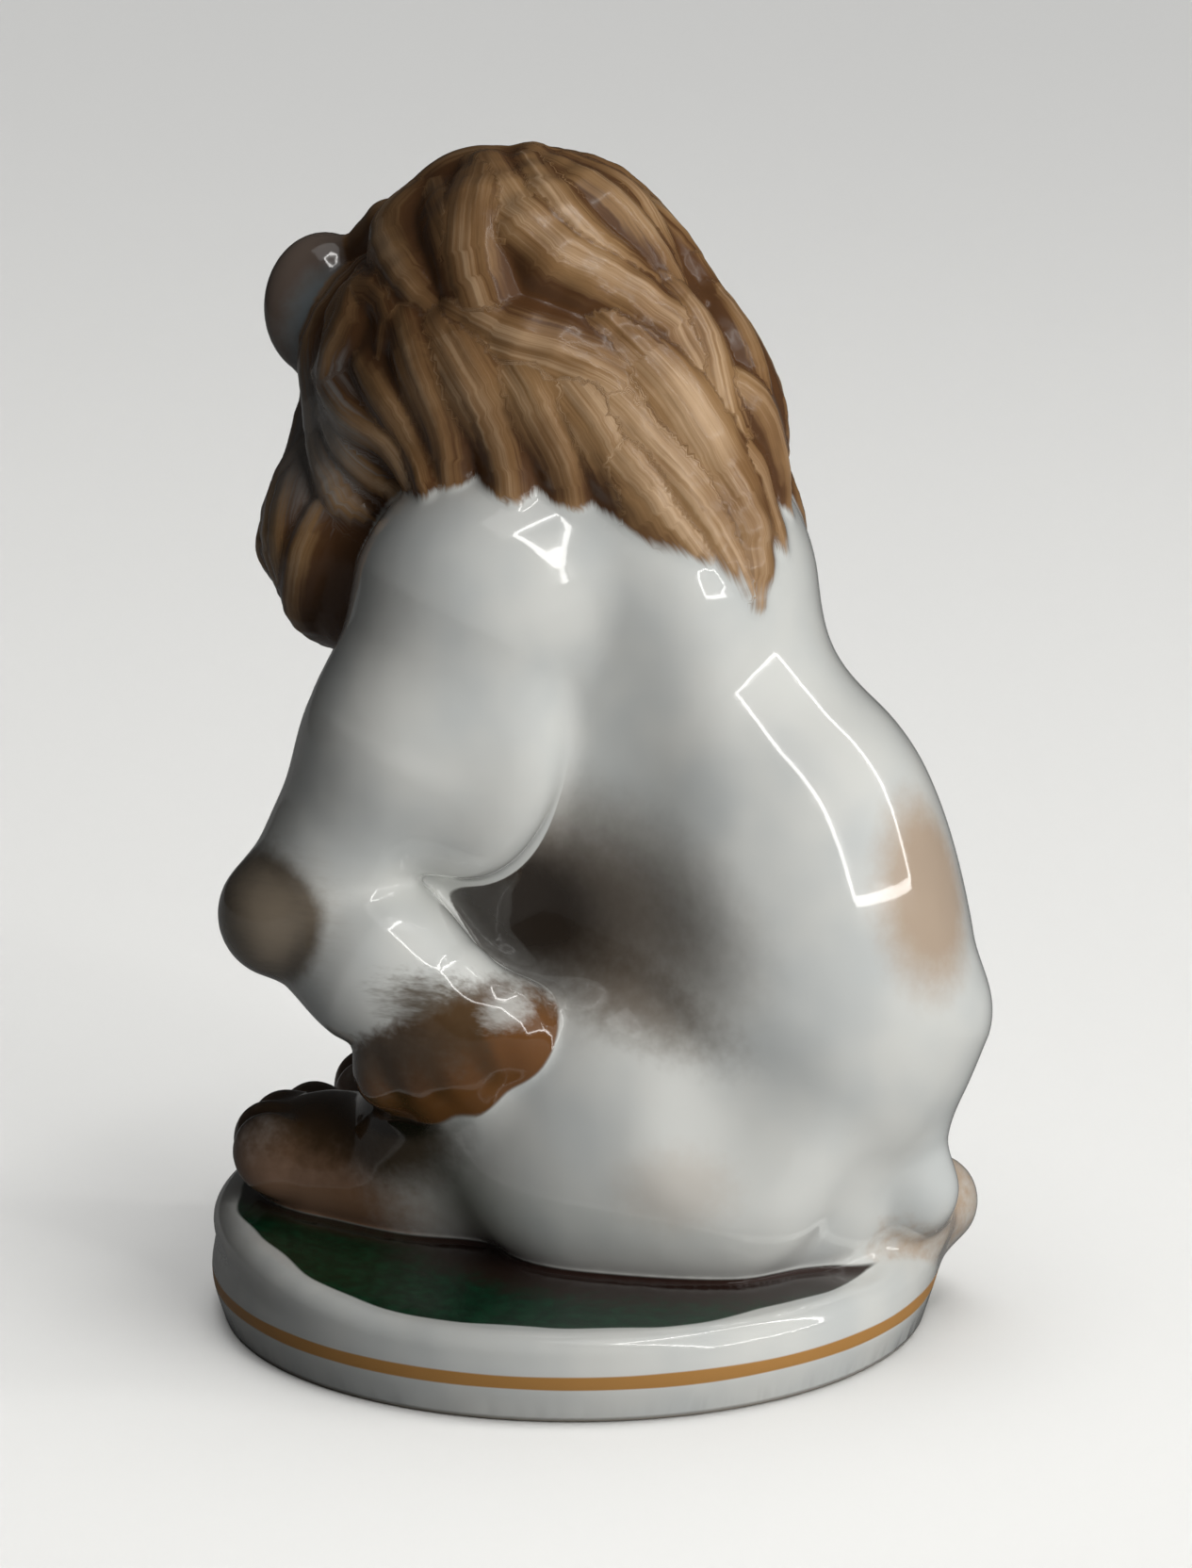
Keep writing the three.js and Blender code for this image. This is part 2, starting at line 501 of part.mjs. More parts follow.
// Thins a closed mesh to a number of faces by collapsing, again and again, the edge whose loss bends the
// surface least. Each point carries the sum of its faces' squared-distance forms, as ten numbers.
function thinned({ places, faces }, wanted) {
  const p = places.map((v) => [...v]);
  const f = faces.map((v) => [...v]);
  const around = p.map(() => new Set());
  const form = p.map(() => new Float64Array(10));
  const normalOf = (a, b, c) => {
    const u = [b[0] - a[0], b[1] - a[1], b[2] - a[2]];
    const w = [c[0] - a[0], c[1] - a[1], c[2] - a[2]];
    return [u[1] * w[2] - u[2] * w[1], u[2] * w[0] - u[0] * w[2], u[0] * w[1] - u[1] * w[0]];
  };
  f.forEach((face, id) => {
    const m = normalOf(...face.map((v) => p[v]));
    const size = Math.hypot(...m) || 1e-12;
    const [a, b, c] = m.map((v) => v / size);
    const d = -(a * p[face[0]][0] + b * p[face[0]][1] + c * p[face[0]][2]);
    const q = [a * a, a * b, a * c, a * d, b * b, b * c, b * d, c * c, c * d, d * d];
    for (const v of face) {
      around[v].add(id);
      q.forEach((value, i) => (form[v][i] += value * size));
    }
  });
  const cost = (q, [x, y, z]) =>
    q[0] * x * x + q[4] * y * y + q[7] * z * z + q[9] +
    2 * (q[1] * x * y + q[2] * x * z + q[3] * x + q[5] * y * z + q[6] * y + q[8] * z);
  const meeting = (q, a, b) => {
    const spots = [a.map((v, i) => (v + b[i]) / 2), a, b];
    const det =
      q[0] * (q[4] * q[7] - q[5] * q[5]) - q[1] * (q[1] * q[7] - q[5] * q[2]) +
      q[2] * (q[1] * q[5] - q[4] * q[2]);
    const size = q[0] + q[4] + q[7];
    if (Math.abs(det) > 1e-4 * size * size * size) {
      const [r, s, t] = [-q[3], -q[6], -q[8]];
      spots.unshift([
        (r * (q[4] * q[7] - q[5] * q[5]) - q[1] * (s * q[7] - q[5] * t) + q[2] * (s * q[5] - q[4] * t)) / det,
        (q[0] * (s * q[7] - t * q[5]) - r * (q[1] * q[7] - q[5] * q[2]) + q[2] * (q[1] * t - s * q[2])) / det,
        (q[0] * (q[4] * t - s * q[5]) - q[1] * (q[1] * t - s * q[2]) + r * (q[1] * q[5] - q[4] * q[2])) / det,
      ]);
    }
    return spots.reduce((best, spot) => (cost(q, spot) < cost(q, best) ? spot : best));
  };
  const stamp = new Int32Array(p.length);
  const heap = [];
  const less = (a, b) => heap[a].price < heap[b].price;
  const swap = (a, b) => ([heap[a], heap[b]] = [heap[b], heap[a]]);
  const push = (a, b) => {
    const q = form[a].map((v, i) => v + form[b][i]);
    const spot = meeting(q, p[a], p[b]);
    const span = Math.hypot(...p[a].map((v, i) => v - p[b][i]));
    heap.push({ a, b, spot, stamps: [stamp[a], stamp[b]], price: Math.max(cost(q, spot), 0) + 1e-4 * span * span });
    let i = heap.length - 1;
    while (i > 0 && less(i, (i - 1) >> 1)) {
      swap(i, (i - 1) >> 1);
      i = (i - 1) >> 1;
    }
  };
  const pop = () => {
    const top = heap[0];
    const last = heap.pop();
    if (heap.length) {
      heap[0] = last;
      let i = 0;
      for (;;) {
        let next = 2 * i + 1;
        if (next >= heap.length) break;
        if (next + 1 < heap.length && less(next + 1, next)) next++;
        if (!less(next, i)) break;
        swap(i, next);
        i = next;
      }
    }
    return top;
  };
  const neighbours = (v) => new Set([...around[v]].flatMap((id) => f[id]).filter((w) => w !== v));
  const flips = (v, other, spot) =>
    [...around[v]].some((id) => {
      if (f[id].includes(other)) return false;
      const before = normalOf(...f[id].map((w) => p[w]));
      const after = normalOf(...f[id].map((w) => (w === v ? spot : p[w])));
      const along = before[0] * after[0] + before[1] * after[1] + before[2] * after[2];
      return along < 0.3 * Math.hypot(...before) * Math.hypot(...after);
    });
  f.forEach(([a, b, c]) => [[a, b], [b, c], [c, a]].forEach(([u, v]) => u < v && push(u, v)));
  let left = f.length;
  while (left > wanted && heap.length) {
    const { a, b, spot, stamps } = pop();
    if (stamp[a] !== stamps[0] || stamp[b] !== stamps[1]) continue;
    const ring = neighbours(b);
    if ([...neighbours(a)].filter((v) => ring.has(v)).length !== 2) continue;
    if (flips(a, b, spot) || flips(b, a, spot)) continue;
    p[a] = spot;
    form[a] = form[a].map((v, i) => v + form[b][i]);
    for (const id of around[b]) {
      if (f[id].includes(a)) {
        f[id].forEach((v) => v !== b && around[v].delete(id));
        f[id] = null;
        left--;
      } else {
        f[id] = f[id].map((v) => (v === b ? a : v));
        around[a].add(id);
      }
    }
    around[b].clear();
    stamp[b] = -1;
    stamp[a]++;
    for (const v of neighbours(a)) {
      stamp[v]++;
    }
    for (const v of neighbours(a)) {
      push(a, v);
      for (const w of neighbours(v)) if (w !== a) push(v, w);
    }
  }
  const kept = f.filter(Boolean);
  const number = new Map();
  kept.flat().forEach((v) => number.has(v) || number.set(v, number.size));
  return { places: [...number.keys()].map((v) => p[v]), faces: kept.map((t) => t.map((v) => number.get(v))) };
}

function meshOf({ places, faces }) {
  const geometry = new THREE.BufferGeometry();
  geometry.setAttribute("position", new THREE.Float32BufferAttribute(places.flat(), 3));
  geometry.setIndex(faces.flat());
  return geometry;
}

// The geometry with the points that its faces share made one.
function merged(geometry) {
  const bare = geometry.clone();
  bare.deleteAttribute("normal");
  bare.deleteAttribute("uv");
  return mergeVertices(bare, 1e-4);
}

// The base: a turned disc with a rounded shoulder. Its top lies a little under the ground that the lion carries.
function base() {
  const shoulder = [0, 30, 60, 90].map((angle) => {
    const across = Math.cos(radians(angle));
    const up = Math.sin(radians(angle));
    const wall = BASE_RADIUS - 0.6;
    return [wall - SHOULDER_ROUND * (1 - across), RIM_HEIGHT - SHOULDER_ROUND * (1 - up)];
  });
  const top = [44, 0].map((r) => [r, RIM_HEIGHT - GROUND_COVER]);
  const outline = [[0, 0], [FOOT_RADIUS, 0], [BASE_RADIUS, WIDEST_AT], ...shoulder, ...top];
  const lathe = new THREE.LatheGeometry(outline.map(([r, z]) => new THREE.Vector2(r, z)), BASE_SIDES);
  lathe.rotateX(Math.PI / 2);
  const disc = merged(lathe);
  const spot = disc.getAttribute("position");
  for (let i = 0; i < spot.count; i++) {
    const z = spot.getZ(i);
    const lift = THREE.MathUtils.smoothstep(z, WIDEST_AT, RIM_HEIGHT - SHOULDER_ROUND);
    spot.setZ(i, z + lift * ground(spot.getX(i), spot.getY(i)));
  }
  return disc;
}

const wasm = await Module();
wasm.setup();
function solid(geometry) {
  const vertProperties = geometry.getAttribute("position").array;
  const triVerts = new Uint32Array(geometry.index.array);
  return new wasm.Manifold(new wasm.Mesh({ numProp: 3, vertProperties, triVerts }));
}
function geometryOf(made) {
  const mesh = made.getMesh();
  const geometry = new THREE.BufferGeometry();
  geometry.setAttribute("position", new THREE.BufferAttribute(new Float32Array(mesh.vertProperties), 3));
  geometry.setIndex(new THREE.BufferAttribute(new Uint32Array(mesh.triVerts), 1));
  return geometry;
}

const skin = skinOf(lionIn, [-49, -56, 1], [49, 66, 167], STEP);
const figure = solid(meshOf(thinned(skin, LION_FACES))).add(solid(base()));

const group = new THREE.Group();
const glaze = new THREE.MeshStandardMaterial({ color: 0xe9e8e2, roughness: 0.15, metalness: 0 });
const lion = new THREE.Mesh(geometryOf(figure), glaze);
lion.name = "lion_figurine";
group.add(lion);
export default group;
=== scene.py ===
import math
from types import SimpleNamespace

import bpy
import numpy as np
from bpy.props import FloatProperty, FloatVectorProperty, IntProperty, PointerProperty
from mathutils import Euler, Matrix, Vector


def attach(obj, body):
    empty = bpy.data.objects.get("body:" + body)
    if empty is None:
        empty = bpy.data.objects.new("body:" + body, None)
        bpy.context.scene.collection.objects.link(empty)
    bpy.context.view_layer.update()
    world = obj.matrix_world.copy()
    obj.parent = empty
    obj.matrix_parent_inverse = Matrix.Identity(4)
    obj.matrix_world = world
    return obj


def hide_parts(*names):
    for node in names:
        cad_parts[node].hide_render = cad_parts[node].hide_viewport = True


bl_info = {
    "name": "Porcelain lion",
    "version": (1, 0, 0),
    "blender": (4, 5, 0),
    "location": "3D View > Sidebar > Porcelain lion",
    "description": "Builds a glazed and painted porcelain lion on its round base, with a plain studio",
    "category": "Object",
}

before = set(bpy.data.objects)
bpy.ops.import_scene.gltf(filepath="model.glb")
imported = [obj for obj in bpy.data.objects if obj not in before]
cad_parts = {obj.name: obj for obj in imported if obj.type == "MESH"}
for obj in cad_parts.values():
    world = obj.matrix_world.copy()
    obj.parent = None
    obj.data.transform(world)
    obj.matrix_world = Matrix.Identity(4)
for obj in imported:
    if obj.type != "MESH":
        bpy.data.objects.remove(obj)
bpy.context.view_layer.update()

# ---- The form, in millimetres: +X is the lion's left, -Y its front, +Z up ----

BASE_RADIUS = 50.0
FOOT_RADIUS = 48.2
WIDEST_AT = 5.8
RIM_HEIGHT = 11.6
FRONT_RISE = 4.2
GROUND_SWELL = 1.6
SHOULDER_ROUND = 2.4
SHOULDER_SIDE = BASE_RADIUS - 0.6
WALL_ROUND = 1.0
CLIMB_START, CLIMB_END = 5, 46
FOOT_ROUND = 0.5
FOOT_HOLLOW = 1.1
FOOT_RING = 43.2
HOLLOW_RADIUS = 41.4
GROUND_MELT = 1.6
HEAD_MELT = 1.5

SKULL = np.array([-8.0, -13.0, 129.0])
HEAD_TURN = -58
HEAD_BOW = 14
HEAD_TILT = 9
MANE_AXIS = np.array([-1.5, -7.0])
FAR = 60.0
# How far past its melt a shape is still worked out
MARGIN = 4


def turned(about_x, about_y, about_z):
    """A turned set of axes as the columns of a matrix: about X, then Y, then Z, in degrees."""
    return np.array(Euler([math.radians(a) for a in (about_x, about_y, about_z)], "XYZ").to_matrix())


HEAD_AXES = turned(0, 0, HEAD_TURN) @ turned(HEAD_BOW, 0, 0) @ turned(0, -HEAD_TILT, 0)


class Shape:
    """A shape with a box round it. Melt is how softly it flows into what is already there."""

    def touches(self, low, high):
        reach = self.melt + MARGIN
        return np.all(self.low - reach < high) and np.all(self.high + reach > low)


class Egg(Shape):
    """An egg shape, on its own axes if it has any."""

    def __init__(self, centre, radii, melt, axes=None, hollow=False):
        self.centre = np.array(centre, float)
        self.radii = np.array(radii, float)
        self.axes = axes
        self.melt = melt
        self.hollow = hollow
        reach = self.radii if axes is None else np.full(3, self.radii.max())
        self.low = self.centre - reach
        self.high = self.centre + reach

    def at(self, p):
        q = p - self.centre
        if self.axes is not None:
            q = q @ self.axes
        q = q / self.radii
        k = np.sqrt(np.einsum("ij,ij->i", q, q))
        q = q / self.radii
        slope = np.sqrt(np.einsum("ij,ij->i", q, q)) + 1e-9
        return k * (k - 1) / slope


class Limb(Shape):
    """A straight round limb whose radius changes evenly from one end to the other."""

    def __init__(self, start, end, radius, end_radius, melt, hollow=False):
        self.start = np.array(start, float)
        self.run = np.array(end, float) - self.start
        self.radius = radius
        self.grow = end_radius - radius
        self.long = max(float(self.run @ self.run), 1e-9)
        self.melt = melt
        self.hollow = hollow
        reach = max(radius, end_radius)
        self.low = np.minimum(start, end) - reach
        self.high = np.maximum(start, end) + reach

    def share(self, p):
        return np.clip((p - self.start) @ self.run / self.long, 0, 1)

    def at(self, p):
        t = self.share(p)
        q = p - self.start - t[:, None] * self.run
        return np.sqrt(np.einsum("ij,ij->i", q, q)) - self.radius - t * self.grow


def limbs(points, radii, melt, hollow=False):
    """A bent round limb from point to point, each point with its own radius."""
    spans = zip(points, points[1:], radii, radii[1:])
    return [Limb(a, b, ra, rb, melt, hollow) for a, b, ra, rb in spans]


def mirror(point):
    return [-point[0], point[1], point[2]]


def egg_pair(centre, radii, melt, turn=None, hollow=False):
    axes = [None, None] if turn is None else [turned(turn[0], 0, turn[1]), turned(turn[0], 0, -turn[1])]
    return [Egg(centre, radii, melt, axes[0], hollow), Egg(mirror(centre), radii, melt, axes[1], hollow)]


def limb_pair(points, radii, melt):
    return limbs(points, radii, melt) + limbs([mirror(p) for p in points], radii, melt)


def blend(a, b, melt):
    h = np.maximum(melt - np.abs(a - b), 0) / max(melt, 1e-6)
    return np.minimum(a, b) - h * h * melt / 4


def melt_in(d, shape, p):
    """Adds a shape to the distances of points, or takes it out if it is hollow."""
    own = shape.at(p)
    return -blend(-d, own, shape.melt) if shape.hollow else blend(d, own, shape.melt)


def outside(shapes, p, everywhere=False):
    """How far points are outside a list of shapes, melted together in order."""
    d = np.full(len(p), FAR)
    for s in shapes:
        if everywhere:
            d = melt_in(d, s, p)
            continue
        reach = s.melt + MARGIN
        near = np.all((p > s.low - reach) & (p < s.high + reach), axis=1)
        if near.any():
            d[near] = melt_in(d[near], s, p[near])
    return d


def torso():
    return [
        Egg([0, 26, 46], [24, 30.5, 31], 0),
        Egg([0, 19.5, 64.6], [24, 32.3, 30.3], 8),
        Egg([0, 0, 58], [21, 23, 24], 8),
        Egg([0, 5, 99], [26, 28.2, 27], 10),
        Egg([0, -6, 114], [20, 19, 18], 8),
        *egg_pair([31, 13.5, 84], [7, 7, 18], 14, None, True),
        *egg_pair([30.5, 4, 63], [8.5, 21, 9], 14, [-26, 0], True),
        *egg_pair([18.5, 9, 31], [13.5, 22, 20.5], 3),
        *egg_pair([14, 24, 27], [14, 18, 17], 6),
        *egg_pair([32, 36, 37], [7, 9, 9], 9, None, True),
        *egg_pair([13, -13, 20.5], [10, 14, 9], 5),
        Egg([2, 33, 17], [12, 9.5, 9], 5),
        Egg([3, 39, 22], [9, 7.5, 10.5], 5),
    ]


def arms():
    shapes = [
        *egg_pair([19, -5, 104], [12, 15, 13], 6),
        *limb_pair([[19, -8, 99], [24, -14.8, 83], [26, -26.3, 63.4]], [15, 12, 9.5], 6),
        *egg_pair([23.5, -7, 84], [9, 13.5, 19], 4),
        *egg_pair([13.5, -8, 73], [8.5, 13, 15], 4),
        *limb_pair([[26, -28, 59.4], [27, -17, 53.2], [28, -9, 49.4]], [9.5, 10.5, 9], 3),
        *egg_pair([28.5, -30.5, 59.3], [8.6, 8.5, 8.6], 1.2),
        *egg_pair([28, -6, 44.5], [8.6, 13.5, 8.4], 2.5, [20, 11]),
    ]
    for i in range(4):
        shapes += egg_pair([30.2 - i, -15 + 6 * i, 39.6 + (i - 0.7) ** 2], [5.2, 4.4, 5.4], 1.6)
    return shapes


def feet():
    shapes = []
    for side, back in ((1, 0), (-1, 3)):
        shapes += limbs([[22 * side, -6, 40], [15 * side, -20 + back, 22]], [10, 9], 5)
        shapes.append(Egg([14 * side, -29 + back, 21.5], [10.5, 13, 9], 4))
        for x in (-7.8, -2.7, 2.7, 7.8):
            shapes.append(Egg([(14 + x) * side, -38 + back + 0.04 * x * x, 23.5], [3.4, 5.6, 5.8], 1.6))
    return shapes


def tail():
    return [
        *limbs([[-2, 49.5, 45.5], [0, 45.5, 33], [-1, 48, 21], [-7, 46.5, 14.5]], [8, 5.2, 5.2, 4.8], 4),
        *limbs([[-7, 46.5, 14.5], [-16, 46, 14.5], [-27, 40.5, 14.5]], [4.6, 6.2, 2.2], 2),
        Egg([-6, 43, 9], [17, 6.5, 6], 3),
    ]


def on_head(place):
    """A place on the head: towards its left, forwards and upwards from the skull's middle."""
    left, forward, up = place
    return SKULL + HEAD_AXES @ np.array([left, -forward, up], float)


def head_egg(place, radii, melt, hollow=False):
    return Egg(on_head(place), radii, melt, HEAD_AXES, hollow)


def head_limb(places, radii, melt, hollow=False):
    return limbs([on_head(p) for p in places], radii, melt, hollow)


def ear(place, size):
    left, forward, up = place
    wide, thick, tall = size
    cup = [left, forward + thick * 1.05, up]
    return [head_egg(place, size, 2.5), head_egg(cup, [wide * 0.68, thick * 0.95, tall * 0.7], 1.5, True)]


EYE = [8.6, 18.9, 4.9]
EAR_LEFT = [24.5, 3.5, 4.5]
EAR_RIGHT = [-22, 3.5, 7]


def head():
    shapes = [
        head_egg([0, 0, 0], [18.5, 20, 18], 0),
        *head_limb([[0, 8, -9], [0, 26, -12]], [10, 6.5], 6),
        *head_limb([[0, 12, 6], [0, 33, 0.5]], [10, 6], 4),
        head_egg([0, 27, -6], [10, 10.5, 8], 3),
    ]
    for s in (1, -1):
        shapes += [
            head_egg([11.3 * s, 12.5, -3], [7, 8.5, 8], 6),
            head_egg([5.6 * s, 32, -6.8], [6.6, 7, 6], 2.5),
            *head_limb([[3.6 * s, 20.5, 9.8], [11.5 * s, 15.5, 9]], [3.4, 3], 4),
            head_egg([9 * s, 23, 5], [4.4, 3.6, 2.8], 3, True),
            head_egg([EYE[0] * s, EYE[1], EYE[2]], [3.1, 2.9, 2.3], 0.8),
        ]
    shapes += [
        head_egg([0, 30, -14.2], [6, 6.4, 4.4], 1.5),
        head_egg([0, 37.6, -0.6], [5.2, 3.2, 3.4], 1.5),
        *ear(EAR_LEFT, [8, 4.4, 9.8]),
        *ear(EAR_RIGHT, [7, 4.4, 7.6]),
    ]
    return shapes


def face_detail():
    """What the fine mesh adds to the face: lids, nostrils, the cleft lip and the line of the mouth."""
    shapes = []
    for s in (1, -1):
        lid = [[4.8 * s, 20.6, 4.6], [7.2 * s, 21.4, 7.0], [10.6 * s, 19.8, 6.6], [12.2 * s, 17, 4.2]]
        under = [[4.8 * s, 20.8, 4.2], [7.4 * s, 21.2, 2.6], [10.6 * s, 19.4, 2.4], [12.2 * s, 17, 4.0]]
        shapes += head_limb(lid, [0.8, 1.1, 1.1, 0.8], 0.8)
        shapes += head_limb(under, [0.6, 0.8, 0.8, 0.6], 0.8)
        shapes += head_limb([[1.8 * s, 40.6, -1.2], [3.8 * s, 39.2, -0.4]], [0.5, 0.95], 0.7, True)
        mouth = [[0.2 * s, 38.8, -10.2], [5 * s, 36.4, -12.6], [9.4 * s, 29, -11.6]]
        shapes += head_limb(mouth, [0.4, 0.5, 0.3], 1.0, True)
    shapes += head_limb([[0, 40.2, -3.4], [0, 39.6, -10.4]], [0.35, 0.5], 1.2, True)
    return shapes


def mane_mass():
    """The mane without its locks: the crown, the fall round the neck, the nape and the bib under the chin."""
    return [
        Egg([-2, -7.8, 133.5], [21, 22, 23.5], 0),
        Egg([0, -5.6, 125], [22, 31.4, 19.5], 9),
        Egg([-2, 5, 117], [22.5, 23, 16.5], 6),
        Egg([3, -27.4, 104.5], [17, 13.2, 15], 7),
        Egg([-15, -17, 104], [13, 14, 15], 6),
    ]


# Locks on the side that shows: each is a path of [turn about the mane's axis, height], then its width.
NEAR_LOCKS = [
    ([[-91, 157], [-80, 155], [-76, 152], [-74, 147]], 9),
    ([[-77, 153], [-61, 148], [-31, 143], [-9, 138.5]], 11),
    ([[-82, 153.5], [-18, 149], [-5, 143.5], [-1, 139]], 10),
    ([[-50, 156], [-8, 151], [-2, 145], [7, 139], [14, 134.5]], 13),
    ([[-34, 156], [13, 151], [33, 145.5], [52, 141.5], [65, 137], [67, 130.5], [68, 125]], 13),
    ([[23, 156.5], [36, 152], [48, 147.5], [62, 144], [71, 141]], 10),
    ([[60, 158], [68, 153], [76, 148.5], [77, 143], [74, 137]], 10),
    ([[110, 156], [98, 152], [92, 148], [86, 142]], 9),
    ([[122, 155], [116, 149], [109, 144.5], [104, 139]], 9),
    ([[115, 151.5], [109, 145.5], [103, 138], [95, 132]], 9),
    ([[74, 142], [73, 135], [71, 127], [78, 120.5]], 10),
    ([[106, 140.5], [93, 135], [87, 130], [86, 124]], 9),
    ([[73, 130.5], [81, 126.5], [87, 119.5], [89, 112]], 9),
    ([[-2, 139], [16, 136], [35, 133], [46, 129.5], [51, 125], [52, 120]], 13),
    ([[47, 137], [55, 131.5], [62, 125], [69, 118], [72, 111], [70, 102]], 14),
    ([[33, 134.5], [46, 126.5], [56, 120.5], [63, 113], [68, 104]], 12),
    ([[68, 124], [76, 118.5], [79, 113.5], [80, 108]], 8),
    ([[-53, 131.5], [-59, 137], [-47, 140.5], [-32, 138.5], [-31, 132]], 8),
    ([[-23, 137], [-11, 130.5], [-5, 124], [-3, 117]], 11),
    ([[-8, 136.5], [5, 130.5], [13, 123.5], [17, 116]], 13),
    ([[15, 134], [24, 128.5], [30, 122.5], [34, 115.5]], 13),
    ([[29, 132], [38, 126.5], [44, 120.5], [48, 114]], 13),
    ([[40, 125], [47, 120], [54, 114.5], [60, 109]], 12),
    ([[-58, 129], [-41, 124.5], [-27, 122], [-16, 116]], 9),
    ([[-54, 124], [-45, 119.5], [-37, 116.5], [-27, 115]], 8),
    ([[-37, 131], [-24, 126.5], [-17, 122], [-9, 115.5]], 8),
    ([[-63, 123], [-54, 117.5], [-46, 113.5], [-39, 111]], 8),
    ([[-70, 117.5], [-59, 111], [-55, 105], [-57, 97]], 8),
    ([[-49, 111], [-49, 104.5], [-55, 98], [-66, 92]], 8),
    ([[-80, 124], [-72, 116], [-66, 108], [-66, 99]], 9),
]

# Rows of locks on the sides that don't show: two turns, two heights, the sweep, how many there are, the width.
LOCK_ROWS = [
    (118, 172, 157, 137, -22, 5, 10),
    (246, 268, 156, 139, -14, 2, 10),
    (122, 182, 143, 121, -20, 5, 11),
    (128, 186, 128, 106, -16, 5, 11),
    (255, 300, 142, 120, 16, 4, 9),
    (186, 292, 118, 98, 6, 8, 10),
    (196, 284, 108, 90, -5, 6, 9),
]

# Forelocks, as places on the head, then the width.
FORELOCKS = [
    ([[12, -3, 18.5], [16, 5, 15], [15.5, 11, 9.5]], 8),
    ([[-13, -3, 17.5], [-17, 4, 13], [-16, 10, 6.5]], 9),
    ([[7, -2, 21], [10, 7, 18.5], [8, 14.5, 13]], 9),
    ([[-8, -2, 20.5], [-11, 6, 17.5], [-13, 11.5, 12.5]], 9),
    ([[-3, -2, 21.5], [-4, 7, 20.5], [-7, 15, 14.5]], 9),
    ([[2, -2, 21.5], [4.5, 8, 20.5], [2, 16.5, 14]], 9),
    ([[-1, -1, 21], [-0.5, 8, 20.3], [-2.5, 15.5, 16]], 7),
]

# The ruff down each cheek, the same on both sides.
RUFF = [
    ([[17, -2, 15], [19.5, 5, 9], [17, 11, 3], [15.5, 13, -4]], 9),
    ([[20, 1, 3], [20.5, 7, -4], [17, 11, -11], [13, 13, -18]], 10),
    ([[20, 2, -6], [18, 8, -14], [12, 13, -21], [8, 14, -27]], 10),
    ([[12, 8, -14], [8, 14, -19], [3.5, 18, -24]], 8),
]

# A lock's radius and rise as shares of its width
LOCK_ROUND = 0.5
FACE_LOCK_ROUND = 0.45
LOCK_RISE = 0.24
LOCK_MELT = 1
LOCK_PIECES = 9
FACE_LOCK_PIECES = 7

BODY = torso() + arms() + feet() + tail()
MASS = mane_mass()


def curve_point(points, t):
    """A centripetal curve through points, at a share t of its spans."""
    p = np.array(points, float)
    at = t * (len(p) - 1)
    i = min(int(at), len(p) - 2)
    w = at - i
    p1, p2 = p[i], p[i + 1]
    p0 = p[i - 1] if i > 0 else 2 * p[0] - p[1]
    p3 = p[i + 2] if i + 2 < len(p) else 2 * p[-1] - p[-2]
    d0, d1, d2 = (max(float(np.linalg.norm(b - a)) ** 0.5, 1e-4) for a, b in ((p0, p1), (p1, p2), (p2, p3)))
    m1 = ((p1 - p0) / d0 - (p2 - p0) / (d0 + d1) + (p2 - p1) / d1) * d1
    m2 = ((p2 - p1) / d1 - (p3 - p1) / (d1 + d2) + (p3 - p2) / d2) * d1
    a = -3 * p1 + 3 * p2 - 2 * m1 - m2
    b = 2 * p1 - 2 * p2 + m1 + m2
    return p1 + w * (m1 + w * (a + w * b))


def clear_of_coat(p):
    """How far points are outside the body and the bare mane."""
    return np.minimum(outside(MASS, p, True), outside(BODY, p, True))


def on_coat(stops):
    """The places on the lion's outside at turns about the mane's axis and heights, and the ways out there."""
    start, share, least_step, touching, probe = 48.0, 0.6, 0.1, 0.02, 0.4
    stops = np.array(stops, float)
    angle = np.radians(stops[:, 0])
    way = np.stack([np.cos(angle), np.sin(angle), np.zeros(len(stops))], 1)
    middle = np.stack([np.full(len(stops), MANE_AXIS[0]), np.full(len(stops), MANE_AXIS[1]), stops[:, 1]], 1)
    radius = np.full(len(stops), start)
    best = radius.copy()
    least = np.full(len(stops), np.inf)
    going = np.ones(len(stops), bool)
    while going.any():
        i = np.nonzero(going)[0]
        d = clear_of_coat(middle[i] + way[i] * radius[i, None])
        closer = i[d < least[i]]
        least[closer] = d[d < least[i]]
        best[closer] = radius[closer]
        radius[i] -= np.maximum(d * share, least_step)
        going[i] = (d >= touching) & (radius[i] > 1)
    spot = middle + way * best[:, None]
    slope = np.zeros_like(spot)
    for axis in range(3):
        step = np.zeros(3)
        step[axis] = probe
        slope[:, axis] = clear_of_coat(spot + step) - clear_of_coat(spot - step)
    out = slope / np.linalg.norm(slope, axis=1, keepdims=True)
    return spot - out * np.maximum(least, 0)[:, None], out


class Lock:
    """A lock of hair: the middle line, its radii and the ways out of the coat along it."""

    def __init__(self, points, radii, ways):
        self.points = np.array(points)
        self.radii = np.array(radii)
        self.ways = np.array(ways)
        self.shapes = limbs(list(self.points), list(self.radii), LOCK_MELT)
        self.steps = np.concatenate([[0], np.cumsum(np.linalg.norm(np.diff(self.points, axis=0), axis=1))])


